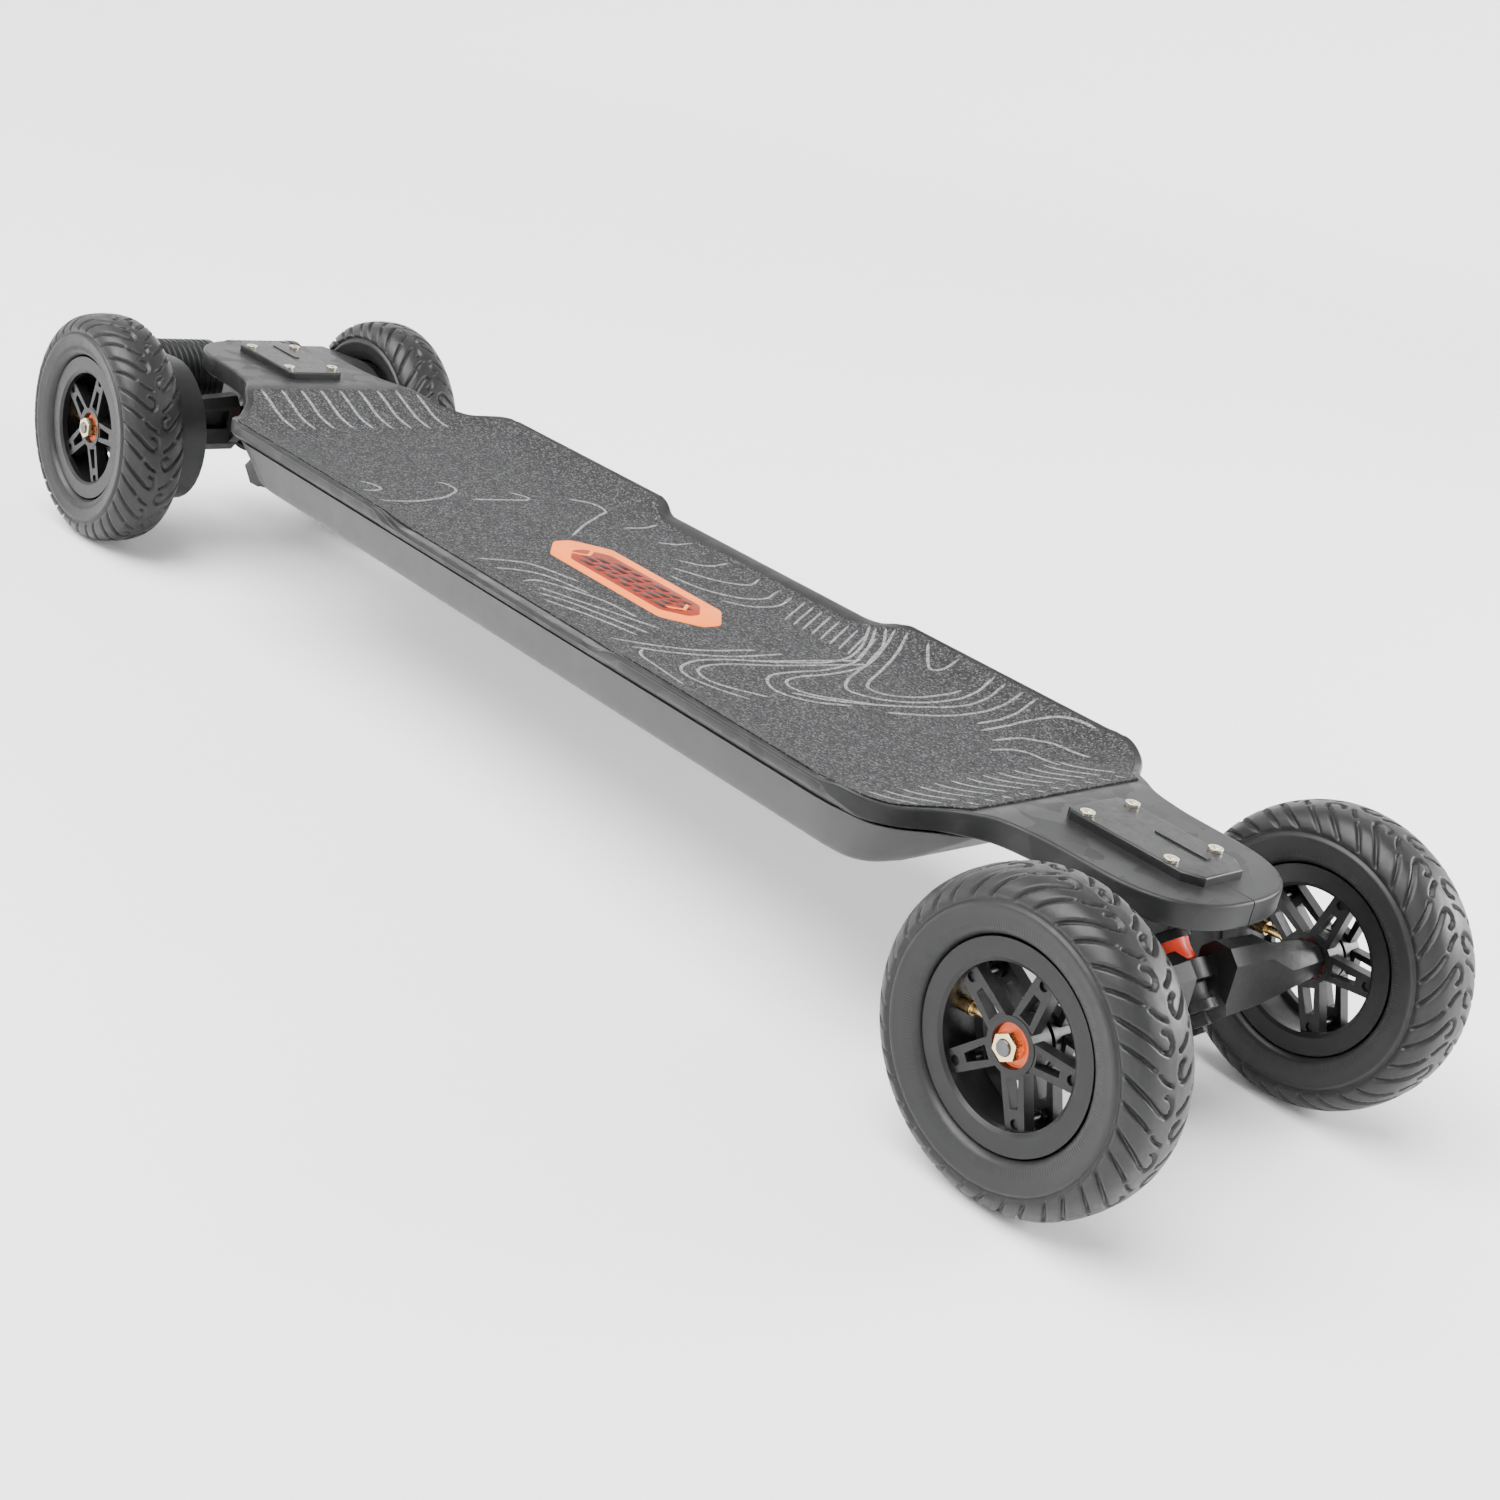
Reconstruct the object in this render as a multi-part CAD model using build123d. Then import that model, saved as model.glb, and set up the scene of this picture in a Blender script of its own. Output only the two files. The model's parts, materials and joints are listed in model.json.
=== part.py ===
from build123d import *
from math import atan2, cos, degrees, hypot, pi, radians, sin
import os

# Electric skateboard with pneumatic wheels, millimetres.
# +X points to the front truck, +Y to the rider's left, +Z up.
# The origin is on the ground, half way between the two axles.

# ---- driving dimensions: running gear ----
WHEELBASE = 928.0
AXLE_Z = 82.5
WHEEL_R = 82.5
WHEEL_Y = 118.0
TYRE_HALF = 23.5
RIM_R = 51.0
BEAD_R = 45.0
RIM_OPENING_R = 39.5
RIM_FACE = 17.5
SPOKES = 5
SPOKE_START = 4.0
BOLT_CIRCLE_R = 36.6
BEARING_R = 11.0
BEARING_W = 7.0
BEARING_FACE = 10.4
AXLE_R = 4.0
AXLE_END = 137.5

# ---- driving dimensions: deck ----
PLATFORM_Z = 127.7
MAT_T = 1.0
SKIN_T = 6.0
NECK_Z = 144.5
NECK_T = 14.0
NECK_TIP = 485.0
SLOPE_START = 292.0
SLOPE_END = 372.0
FRONT_WING = (101.0, 135.0)
REAR_WING = (-94.0, -111.0)
CORNER_X = {"front": 338.0, "rear": 320.0}
ENCLOSURE_Z = 101.0
ENCLOSURE_WALL = 2.5
SEAL_T = 0.8

# ---- driving dimensions: trucks ----
STEER_TILT = 45.0
STEER_LIMIT = 12.0
RING_X = 456.0
RING_Z = 88.0
RING_T = 10.0
BUSHING_R = 12.5
KINGPIN_R = 4.8
ARM_END = 105.8

# ---- driving dimensions: drive ----
MOTOR_X = -520.5
MOTOR_Z = 108.5
MOTOR_R = 25.5
MOTOR_Y = (9.0, 60.5)
BELT_PITCH = 5.0
WHEEL_TEETH = 56
MOTOR_TEETH = 15
BELT_Y = (75.0, 90.0)

AXLE_X = WHEELBASE / 2
ENDS = {"front": 1, "rear": -1}
SIDES = {"left": 1, "right": -1}

os.makedirs("parts", exist_ok=True)


def save(name, shape):
    export_step(shape, "parts/" + name + ".step")


def group(shapes):
    return Compound(children=[s.solids()[0] for s in shapes])


def mirrored_y(shape):
    return shape.mirror(Plane.XZ)


def mirrored_x(shape):
    return shape.mirror(Plane.YZ)


def rod(start, end, radius):
    """Round bar between two points."""
    a, b = Vector(*start), Vector(*end)
    return extrude(Plane(origin=a, z_dir=b - a) * Circle(radius), (b - a).length)


def tube(start, end, outer, inner):
    return rod(start, end, outer) - rod(start, end, inner)


def hexagon(start, end, across_flats):
    a, b = Vector(*start), Vector(*end)
    face = Plane(origin=a, z_dir=b - a) * RegularPolygon(across_flats / 2, 6, major_radius=False)
    return extrude(face, (b - a).length)


def box_between(low, high):
    size = [h - l for l, h in zip(low, high)]
    middle = [(h + l) / 2 for l, h in zip(low, high)]
    return Pos(*middle) * Box(*size)


def side_plate(points, y0, y1):
    """Prism across Y of an outline given as (x, z)."""
    face = make_face(Polyline(*[(x, y0, z) for x, z in points], close=True))
    return extrude(face, y1 - y0, dir=(0, 1, 0))


def plan_prism(half, z0, z1):
    """Prism along Z of an outline that is symmetric about the X axis."""
    loop = half + [(x, -y) for x, y in reversed(half)]
    face = make_face(Polyline(*[(x, y, z0) for x, y in loop], close=True))
    return extrude(face, z1 - z0, dir=(0, 0, 1))


# ---- deck ----
# Half sections, (y, z), from the top middle round the edge to the bottom middle.
WAIST = [(0, PLATFORM_Z), (58, PLATFORM_Z), (80, 128.4), (95.5, 130.2), (104, 133.2), (111.4, 134),
         (112.6, 133), (112.4, 130), (110, 128), (92, 124), (58, PLATFORM_Z - SKIN_T), (0, PLATFORM_Z - SKIN_T)]
WING = [(0, PLATFORM_Z), (58, PLATFORM_Z), (80, 128.8), (95.5, 131.8), (108, 137.5), (115.6, 141.6),
        (117.6, 140), (116.6, 134), (110, 128), (92, 124), (58, PLATFORM_Z - SKIN_T), (0, PLATFORM_Z - SKIN_T)]


def full_loop(half):
    return half + [(-y, z) for y, z in reversed(half[1:-1])]


def section_face(loop, x):
    return make_face(Polyline(*[(x, y, z) for y, z in loop], close=True))


def ribbon(stations):
    """Ruled body through (x, loop) sections with equal point counts."""
    return loft([section_face(loop, x) for x, loop in stations], ruled=True)


def platform():
    waist, wing = full_loop(WAIST), full_loop(WING)
    stations = [(6 - SLOPE_END, wing), (REAR_WING[1], wing), (REAR_WING[0], waist),
                (FRONT_WING[0], waist), (FRONT_WING[1], wing), (SLOPE_END - 6, wing)]
    return ribbon(stations)


def smooth(t):
    return t * t * (3 - 2 * t)


def slope_line(low, high, steps=10):
    """Points of the rise from platform to neck, (x, z)."""
    points = []
    for i in range(steps + 1):
        t = i / steps
        points.append((SLOPE_START + t * (SLOPE_END - SLOPE_START), low + smooth(t) * (high - low)))
    return points


def neck_slab():
    top = slope_line(PLATFORM_Z, NECK_Z) + [(NECK_TIP, NECK_Z)]
    bottom = [(NECK_TIP, NECK_Z - NECK_T)] + slope_line(PLATFORM_Z - SKIN_T, NECK_Z - NECK_T)[::-1]
    return side_plate(top + bottom, -100, 100)


def end_plan(corner):
    """Half outline of one end, (x, y), from the platform's corner to the neck tip."""
    flange = [(corner - 36, 117.7), (corner - 20, 114), (corner - 8, 106), (corner, 97), (corner * 0.4 + 215, 78)]
    edge = [(362, 70), (370, 63), (380, 59.5), (400, 56), (430, 55)]
    tip = []
    for i in range(1, 9):
        a = radians(i * 90 / 9)
        tip.append((430 + (NECK_TIP - 430) * sin(a) ** 0.85, 55 * cos(a) ** 0.75))
    return flange + edge + tip + [(NECK_TIP, 0.5)]


def deck_outline():
    front, rear = end_plan(CORNER_X["front"]), end_plan(CORNER_X["rear"])
    return [(-x, y) for x, y in reversed(rear)] + front


def deck_blank():
    slab = neck_slab()
    return (platform() + slab + mirrored_x(slab)) & plan_prism(deck_outline(), 60, 200)


BOLT_POINTS = [(x, y) for x in (391.0, 445.0) for y in (-18.0, 18.0)]
SCREW_POINTS = [(x, y) for x in (-262.0, -150.0, -40.0, 70.0, 180.0, 296.0) for y in (-88.0, 88.0)]


def deck():
    body = deck_blank()
    for end in ENDS.values():
        for x, y in BOLT_POINTS:
            body -= rod((end * x, y, 120), (end * x, y, 150), 2.8)
    for x, y in SCREW_POINTS:
        body -= rod((x, y, 119), (x, y, 126), 1.9)
    return body


def mat_end(corner):
    return [(corner - 38, 112.5), (corner - 22, 110), (corner - 11, 103), (corner - 4, 94),
            (corner * 0.4 + 211, 75), (358, 66)]


def mat_sheet(deck_body):
    """Grip sheet: the deck's top lifted by its thickness, inside the rails."""
    lifted = deck_blank().moved(Location((0, 0, MAT_T)))
    rear = [(-x, y) for x, y in reversed(mat_end(CORNER_X["rear"]))]
    waist = [(REAR_WING[1] - 4, 112.5), (REAR_WING[0] + 2, 99), (FRONT_WING[0] - 2, 99), (FRONT_WING[1] + 4, 112.5)]
    keep = plan_prism(rear + waist + mat_end(CORNER_X["front"]), 124, 160)
    sheet = (lifted & keep) - deck_body - badge()
    return max(sheet.solids(), key=lambda s: s.volume)


def badge_outline(length, width):
    nose = width * 0.42
    return [(-length / 2, 7), (-length / 2 + nose, width / 2), (length / 2 - nose, width / 2), (length / 2, 7)]


def badge():
    """Badge plate, set flush into a cut-out of the grip sheet."""
    plate = plan_prism(badge_outline(153, 50), PLATFORM_Z, PLATFORM_Z + MAT_T)
    return fillet(plate.edges().filter_by(Axis.Z), 6).moved(Location((5, 0, 0)))


# ---- enclosure ----
def tray_loop(z, inset, half):
    points = []
    for x, y in half:
        points.append((x - inset if x > 0 else x + inset, y - inset, z))
    loop = points + [(x, -y, z) for x, y, z in reversed(points)]
    return make_face(Polyline(*loop, close=True))


TRAY_LOW = [(-283, 84), (-280, 95), (-270, 101.5), (-258, 103), (300, 103), (315, 100.5), (324, 91), (327, 76)]
TRAY_HIGH = [(-306, 88), (-304, 99), (-298, 107), (-284, 110.4), (302, 110.4), (328, 105), (340, 94), (360, 64)]


def tray_block(inset, z0, z1):
    """Tapered block between the tray's floor and its rim, shrunk by inset."""
    faces = []
    for z in (z0, z1):
        t = (z - ENCLOSURE_Z) / 27.0
        half = [(a[0] + t * (b[0] - a[0]), a[1] + t * (b[1] - a[1])) for a, b in zip(TRAY_LOW, TRAY_HIGH)]
        faces.append(tray_loop(z, inset, half))
    return loft(faces, ruled=True)


SWITCH_X = -225.0
PORT_X = -180.0
FITTING_Z = 112.0


def wall_frame(x):
    """Plane on the tray's left wall: its Z axis is the wall's outward normal."""
    t = (FITTING_Z - ENCLOSURE_Z) / 27.0
    y = 103 + t * 7.4
    lean = atan2(7.4, 27.0)
    return Plane(origin=(x, y, FITTING_Z), x_dir=(1, 0, 0), z_dir=(0, cos(lean), -sin(lean)))


def disc(plane, radius, start, end):
    return extrude(plane.offset(start) * Circle(radius), end - start)


def enclosure(deck_body):
    outer = tray_block(0, ENCLOSURE_Z, 131)
    cavity = tray_block(ENCLOSURE_WALL, ENCLOSURE_Z + ENCLOSURE_WALL, 121)
    mouth = tray_block(12, 120, 132)
    tray = outer - cavity - mouth
    for x, y in SCREW_POINTS:
        tray += rod((x, y, ENCLOSURE_Z + 1), (x, y, 129), 5.5) & outer
    for x, y in SCREW_POINTS:
        tray -= rod((x, y, ENCLOSURE_Z - 1), (x, y, ENCLOSURE_Z + 2.6), 4.2)
        tray -= rod((x, y, ENCLOSURE_Z), (x, y, 131), 2.1)
    lowered = deck_body.moved(Location((0, 0, -SEAL_T)))
    tray = tray - deck_body - lowered
    tray -= disc(wall_frame(SWITCH_X), 6.8, -6, 4)
    tray -= disc(wall_frame(PORT_X), 6.8, -6, 4)
    return max(tray.solids(), key=lambda s: s.volume)


def gasket(deck_body):
    ring = tray_block(1.5, 119, 131) - tray_block(11, 118, 132)
    lowered = deck_body.moved(Location((0, 0, -SEAL_T)))
    seal = (ring & lowered) - deck_body
    return max(seal.solids(), key=lambda s: s.volume)


def enclosure_screw(x, y):
    head = rod((x, y, ENCLOSURE_Z + 0.2), (x, y, ENCLOSURE_Z + 2.6), 3.8)
    socket = hexagon((x, y, ENCLOSURE_Z), (x, y, ENCLOSURE_Z + 1.6), 3.0)
    return head + rod((x, y, ENCLOSURE_Z + 2.6), (x, y, 125.5), 1.85) - socket


def battery_cells():
    """Two rows of 18 mm cells lying across the deck."""
    cells = []
    for row in range(20):
        x = -256 + 19.2 * row
        for lane in range(2):
            y0 = -66.5 + lane * 67.5
            cells.append(rod((x, y0, 112.6), (x, y0 + 65, 112.6), 8.9))
    return cells


def speed_controller():
    board = box_between((132, -52, 103.7), (244, 52, 119))
    fins = box_between((140, -46, 119), (236, 46, 121))
    for i in range(7):
        fins -= box_between((146 + i * 13, -50, 119.4), (152 + i * 13, 50, 122))
    return board + fins


def power_button():
    plane = wall_frame(SWITCH_X)
    cap = disc(plane, 6.4, -1.8, 1.6)
    return fillet(cap.edges().group_by(Axis.Y)[-1], 0.6) + disc(plane, 3.0, -6.5, -1.8)


def power_switch():
    plane = wall_frame(SWITCH_X)
    return disc(plane, 6.2, -12.5, -5.4) - disc(plane, 3.4, -10, -4)


def charge_port():
    plane = wall_frame(PORT_X)
    body = disc(plane, 6.4, -15, -0.2) - disc(plane, 4.6, -11, 0)
    return body + disc(plane, 1.0, -11, -2)


def port_cap():
    plane = wall_frame(PORT_X)
    lid = disc(plane, 7.6, 0.4, 2.2)
    hinge_centre = plane.from_local_coords(Vector(0, -9.2, 1.3))
    pin = rod((PORT_X - 5, hinge_centre.Y, hinge_centre.Z), (PORT_X + 5, hinge_centre.Y, hinge_centre.Z), 0.9)
    strap = extrude(plane.offset(0.4) * Pos(0, -7.6) * Rectangle(8, 3.2), 1.8)
    plug = disc(plane, 4.2, -3.5, 0.4) - disc(plane, 1.6, -4, 0.2)
    return lid + strap + pin + plug


# ---- truck: points are given along the steer axis (s), the kingpin (k) and y ----
S_DIR = Vector(cos(radians(STEER_TILT)), 0, sin(radians(STEER_TILT)))
K_DIR = Vector(sin(radians(STEER_TILT)), 0, -cos(radians(STEER_TILT)))
RING = Vector(RING_X, 0, RING_Z)


def tp(s, k, y=0.0):
    p = RING + S_DIR * s + K_DIR * k
    return (p.X, y, p.Z)


def xz(s, k):
    p = tp(s, k)
    return (p[0], p[2])


NECK_UNDER = NECK_Z - NECK_T


def baseplate():
    z = NECK_UNDER
    outline = [(384, z), (453, z), (453, z - 8), xz(14, -22.2), xz(-15, -22.2), (424, 84), xz(-24, -13),
               xz(-29, -13), xz(-29, 13), xz(-44, 13), xz(-52, 4), (404, 62), (399, 104), (384, z - 6)]
    core = side_plate(outline, -13, 13)
    plate = plan_prism([(384, 24), (390, 27), (450, 27), (455, 23)], z - 6, z)
    body = core + plate
    body -= rod(tp(-25, 0), tp(-52, 0), 11.2)
    body -= rod(tp(0, -20), tp(0, -60), KINGPIN_R)
    body -= hexagon(tp(0, -33), tp(0, -60), 15)
    for x, y in BOLT_POINTS:
        body -= rod((x, y, z - 8), (x, y, z + 1), 2.8)
    return body


def pivot_cup():
    cup = rod(tp(-29.5, 0), tp(-50, 0), 11.1)
    return cup - rod(tp(-29, 0), tp(-40, 0), 8.35) - Pos(*tp(-40, 0)) * Sphere(8.35)


def kingpin():
    shank = rod(tp(0, -34), tp(0, 30), KINGPIN_R)
    head = hexagon(tp(0, -39), tp(0, -33.2), 14.6)
    return shank + head


def bushing(k0, k1):
    """Barrel bushing with a waist at mid height."""
    mid = (k0 + k1) / 2
    half = (k1 - k0) / 2
    profile = [(KINGPIN_R + 0.05, -half), (BUSHING_R - 1, -half), (BUSHING_R, -half + 1.2), (BUSHING_R - 0.8, 0),
               (BUSHING_R, half - 1.2), (BUSHING_R - 1, half), (KINGPIN_R + 0.05, half)]
    face = make_face(Polyline(*[(r, 0, z) for r, z in profile], close=True))
    barrel = revolve(face, Axis.Z)
    return Plane(origin=tp(0, mid), z_dir=K_DIR) * barrel


def cup_washer(k0, k1, lip):
    """Dished steel washer; its lip reaches over the bushing."""
    disc_part = rod(tp(0, k0), tp(0, k1), BUSHING_R + 1.6)
    rim = tube(tp(0, min(k0, k0 + lip)), tp(0, max(k1, k1 + lip)), BUSHING_R + 1.6, BUSHING_R + 0.4)
    return disc_part + rim - rod(tp(0, k0 - 6), tp(0, k1 + 6), KINGPIN_R + 0.05)


def arm_section(y, low, high, x_half, middle):
    """Chamfered upright section of the hanger arm at one y."""
    c = min(x_half, (high - low) / 2) * 0.58
    pts = [(middle - x_half, low + c), (middle - x_half + c, low), (middle + x_half - c, low),
           (middle + x_half, low + c), (middle + x_half, high - c), (middle + x_half - c, high),
           (middle - x_half + c, high), (middle - x_half, high - c)]
    return make_face(Polyline(*[(x, y, z) for x, z in pts], close=True))


def hanger_arm():
    sections = [arm_section(16.5, 66, 108, 11.5, 465.5), arm_section(50, 66, 105, 11, 464.5),
                arm_section(72, AXLE_Z - 13, AXLE_Z + 13, 12.5, AXLE_X),
                arm_section(ARM_END, AXLE_Z - 9.5, AXLE_Z + 9.5, 9.5, AXLE_X)]
    arm = loft(sections, ruled=True)
    pocket = side_plate([(459, 84), (471, 84), (471, 98), (459, 98)], 26, 46)
    return arm - pocket.moved(Location((-8, 0, 0)))


def hanger():
    ring = rod(tp(0, -RING_T / 2), tp(0, RING_T / 2), 16.5)
    yoke = Plane(origin=RING, x_dir=(0, 1, 0), z_dir=K_DIR) * Box(37, 24, RING_T)
    stem = rod(tp(-13.6, 0), tp(-40, 0), 7.2) + Pos(*tp(-40, 0)) * Sphere(8.0)
    cheeks = side_plate([xz(-12, -5), xz(12, -5), (476, 92), (474, 74), xz(-12, 9)], 16.5, 24)
    arm = hanger_arm()
    body = ring + yoke + stem + cheeks + mirrored_y(cheeks) + arm + mirrored_y(arm)
    body -= rod(tp(0, -12), tp(0, 12), 7.4)
    for turn in (-STEER_LIMIT, -STEER_LIMIT / 2, 0, STEER_LIMIT / 2, STEER_LIMIT):
        for k0, k1 in ((-24, -14.5), (14.5, 32)):
            body -= rod(tp(0, k0), tp(0, k1), 14.9).rotate(Axis(RING, S_DIR), turn)
    for side in SIDES.values():
        body -= rod((AXLE_X, side * 58, AXLE_Z), (AXLE_X, side * 120, AXLE_Z), AXLE_R)
    return body


def axle_pair():
    stubs = []
    for side in SIDES.values():
        stubs.append(rod((AXLE_X, side * 58, AXLE_Z), (AXLE_X, side * AXLE_END, AXLE_Z), AXLE_R))
    return stubs


def axle_hardware():
    """Inner spacer, speed washer and locking nut at both ends."""
    pieces = []
    outer = WHEEL_Y + BEARING_FACE
    inner = WHEEL_Y - BEARING_FACE
    for side in SIDES.values():
        for y0, y1, r in ((ARM_END, inner - 0.1, 6.2), (outer + 0.1, outer + 1.5, 6.0)):
            pieces.append(tube((AXLE_X, side * y0, AXLE_Z), (AXLE_X, side * y1, AXLE_Z), r, AXLE_R + 0.02))
        nut = hexagon((AXLE_X, side * (outer + 1.5), AXLE_Z), (AXLE_X, side * (outer + 8), AXLE_Z), 13)
        bore = rod((AXLE_X, side * (outer + 1), AXLE_Z), (AXLE_X, side * (outer + 9), AXLE_Z), AXLE_R + 0.02)
        pieces.append(nut - bore)
    return pieces


# ---- wheel: built about the Y axis at the origin, +Y pointing outboard ----
def revolved(profile):
    """Ring about Y from an (r, y) outline."""
    face = make_face(Polyline(*[(r, y, 0) for r, y in profile], close=True))
    return revolve(face, Axis.Y)


def tyre():
    outer = [(51.4, RIM_FACE - 0.4), (53.5, 19.6), (58, 22.2), (63, 23.3), (67, TYRE_HALF), (71, 22.9), (75, 21.2),
             (78.4, 18), (80.8, 13.5), (82.1, 7)]
    inner = [(45.3, 3), (45.3, 7.6), (51.2, 15.0)]
    cavity = [(50, 8), (57, 16.5), (64, 19), (71, 18.4), (75, 14.5), (77, 8)]
    half = [(77.4, 0)] + cavity[::-1] + inner + outer + [(WHEEL_R, 2.5)]
    loop = half + [(r, -y) for r, y in reversed(half[1:])]
    return revolved(loop)


def spoke(angle):
    taper = make_face(Polyline((10, -7), (42, -5.6), (42, 5.6), (10, 7), close=True))
    slot = make_face(Polyline((15.5, -3.6), (29.5, -2.2), (29.5, 2.2), (15.5, 3.6), close=True))
    bar = extrude(taper, 7) - extrude(slot, 7) - Pos(BOLT_CIRCLE_R, 0) * Cylinder(2.6, 20)
    upright = Plane(origin=(0, 13.6, 0), x_dir=(1, 0, 0), z_dir=(0, -1, 0)) * bar
    return upright.rotate(Axis.Y, -angle)


def hub_half():
    rim = [(RIM_OPENING_R, RIM_FACE - 1.5), (RIM_OPENING_R, 12), (42.4, 9.5), (42.4, 0.02), (BEAD_R, 0.02), (BEAD_R, 7.7),
           (RIM_R, 15.3), (RIM_R, RIM_FACE), (RIM_OPENING_R + 2, RIM_FACE)]
    body = revolved(rim)
    for i in range(SPOKES):
        body += spoke(SPOKE_START + i * 360 / SPOKES)
    body += rod((0, 1.2, 0), (0, 14, 0), 14.2)
    body -= rod((0, 0, 0), (0, BEARING_FACE - BEARING_W, 0), 8.5)
    body -= rod((0, BEARING_FACE - BEARING_W, 0), (0, 20, 0), BEARING_R)
    return body


def valve_axis():
    """Unit vector of the valve, between two spokes."""
    a = radians(SPOKE_START + 180)
    return cos(a), sin(a)


def valve_hole():
    c, s = valve_axis()
    return rod((c * 38, 0, s * 38), (c * 48, 0, s * 48), 4.1)


def valve():
    c, s = valve_axis()
    stem = rod((c * 25, 0, s * 25), (c * 46, 0, s * 46), 2.6)
    collar = rod((c * 35, 0, s * 35), (c * 45.2, 0, s * 45.2), 3.9)
    return stem + collar + rod((c * 21, 0, s * 21), (c * 25, 0, s * 25), 3.2)


def bearing(y0):
    y1 = y0 + BEARING_W
    race = tube((0, y0, 0), (0, y1, 0), BEARING_R - 0.02, 9.8) + tube((0, y0, 0), (0, y1, 0), 5.6, AXLE_R + 0.05)
    return race + tube((0, y0 + 0.3, 0), (0, y1 - 0.3, 0), 9.9, 5.5)


def hub_bolt(index):
    a = radians(SPOKE_START + index * 360 / SPOKES)
    x, z = BOLT_CIRCLE_R * cos(a), BOLT_CIRCLE_R * sin(a)
    shank = rod((x, -12, z), (x, 12, z), 2.4)
    nut = hexagon((x, -6.4, z), (x, -3.4, z), 7)
    return shank + nut


def place(shape, end, side):
    """Carry a wheel part to its corner; the right side is the mirror of the left."""
    turned = shape if side > 0 else mirrored_y(shape)
    return turned.moved(Location((end * AXLE_X, side * WHEEL_Y, AXLE_Z)))


# ---- drive ----
def pulley_r(teeth):
    return teeth * BELT_PITCH / (2 * pi)


def two_circles(r_axle, r_motor):
    """Outline round the axle and the motor shaft with straight flanks, as a face in XZ."""
    dx, dz = MOTOR_X + AXLE_X, MOTOR_Z - AXLE_Z
    gap = hypot(dx, dz)
    heading = degrees(atan2(dz, dx))
    lean = degrees(atan2(r_axle - r_motor, (gap ** 2 - (r_axle - r_motor) ** 2) ** 0.5))
    loop = []
    for middle, r, start, turn in ((0, r_axle, 90 - lean, 180 + 2 * lean), (gap, r_motor, lean - 90, 180 - 2 * lean)):
        for i in range(25):
            a = radians(start + turn * i / 24)
            loop.append((middle + r * cos(a), r * sin(a)))
    c, s = cos(radians(heading)), sin(radians(heading))
    return [(-AXLE_X + u * c - v * s, AXLE_Z + u * s + v * c) for u, v in loop]


def toothed(teeth, y0, y1, bore):
    """Toothed belt pulley about the Y axis at the origin."""
    r = pulley_r(teeth) - 0.6
    body = tube((0, y0, 0), (0, y1, 0), r, bore)
    groove = rod((r + 0.5, y0 - 1, 0), (r + 0.5, y1 + 1, 0), 1.5)
    for i in range(teeth):
        body -= groove.rotate(Axis.Y, i * 360 / teeth)
    return body


def wheel_pulley():
    y0, y1 = BELT_Y
    ring = toothed(WHEEL_TEETH, y0, y1, 37)
    web = tube((0, y1 - 4, 0), (0, y1, 0), 38, 17)
    for i in range(SPOKES):
        web -= rod((28, y1 - 5, 0), (28, y1 + 1, 0), 6).rotate(Axis.Y, 40 + i * 72)
    standoff = tube((0, y1, 0), (0, WHEEL_Y - 13.7, 0), 20, 17)
    return ring + web + standoff


def drive_belt():
    outer = side_plate(two_circles(pulley_r(WHEEL_TEETH) + 1.6, pulley_r(MOTOR_TEETH) + 1.6), *BELT_Y)
    inner = side_plate(two_circles(pulley_r(WHEEL_TEETH) + 0.3, pulley_r(MOTOR_TEETH) + 0.3), BELT_Y[0] - 1, BELT_Y[1] + 1)
    return outer - inner


def drive_cover(hanger_body):
    shell = side_plate(two_circles(52.5, 22), 66.2, 93.5) - side_plate(two_circles(49.9, 19.4), 68.8, 95)
    shell -= rod((MOTOR_X, 60, MOTOR_Z), (MOTOR_X, 70, MOTOR_Z), 8)
    return shell - hanger_body - side_plate([(-482, 64), (-446, 64), (-446, 101), (-482, 101)], 60, 70)


def motor_mount(hanger_body):
    plate = side_plate(two_circles(19, 26), 60.6, 66.1)
    plate -= rod((MOTOR_X, 60, MOTOR_Z), (MOTOR_X, 70, MOTOR_Z), 8)
    return plate - hanger_body


def motor_case():
    y0, y1 = MOTOR_Y
    can = rod((MOTOR_X, y0, MOTOR_Z), (MOTOR_X, y1, MOTOR_Z), MOTOR_R)
    can -= rod((MOTOR_X, y0 + 3, MOTOR_Z), (MOTOR_X, y1 - 3, MOTOR_Z), 21)
    can -= rod((MOTOR_X, y1 - 4, MOTOR_Z), (MOTOR_X, y1 + 1, MOTOR_Z), 6)
    rib = tube((MOTOR_X, 0, MOTOR_Z), (MOTOR_X, 2.2, MOTOR_Z), MOTOR_R + 1, MOTOR_R - 1.1)
    for i in range(9):
        can -= rib.moved(Location((0, y0 + 6 + i * 4.6, 0)))
    return can


def motor_rotor():
    y0, y1 = MOTOR_Y
    magnets = rod((MOTOR_X, y0 + 4, MOTOR_Z), (MOTOR_X, y1 - 5, MOTOR_Z), 19.5)
    shaft = rod((MOTOR_X, y1 - 5, MOTOR_Z), (MOTOR_X, BELT_Y[1] + 2, MOTOR_Z), 4)
    return magnets + shaft


def motor_pulley():
    wheel = toothed(MOTOR_TEETH, BELT_Y[0] - 1, BELT_Y[1] + 1, 4.0)
    return wheel.moved(Location((MOTOR_X, 0, MOTOR_Z)))


# ---- neck plate, bolts ----
def neck_plate():
    plate = plan_prism([(380, 19), (384, 22), (455, 22), (465, 15)], NECK_Z, NECK_Z + 5)
    plate = fillet(plate.edges().group_by(Axis.Z)[-1], 1.2)
    bar = box_between((418, 3, NECK_Z + 5), (451, 6.4, NECK_Z + 5.8))
    for x, y in BOLT_POINTS:
        plate -= rod((x, y, NECK_Z - 1), (x, y, NECK_Z + 6), 2.8)
    return plate + bar


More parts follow.
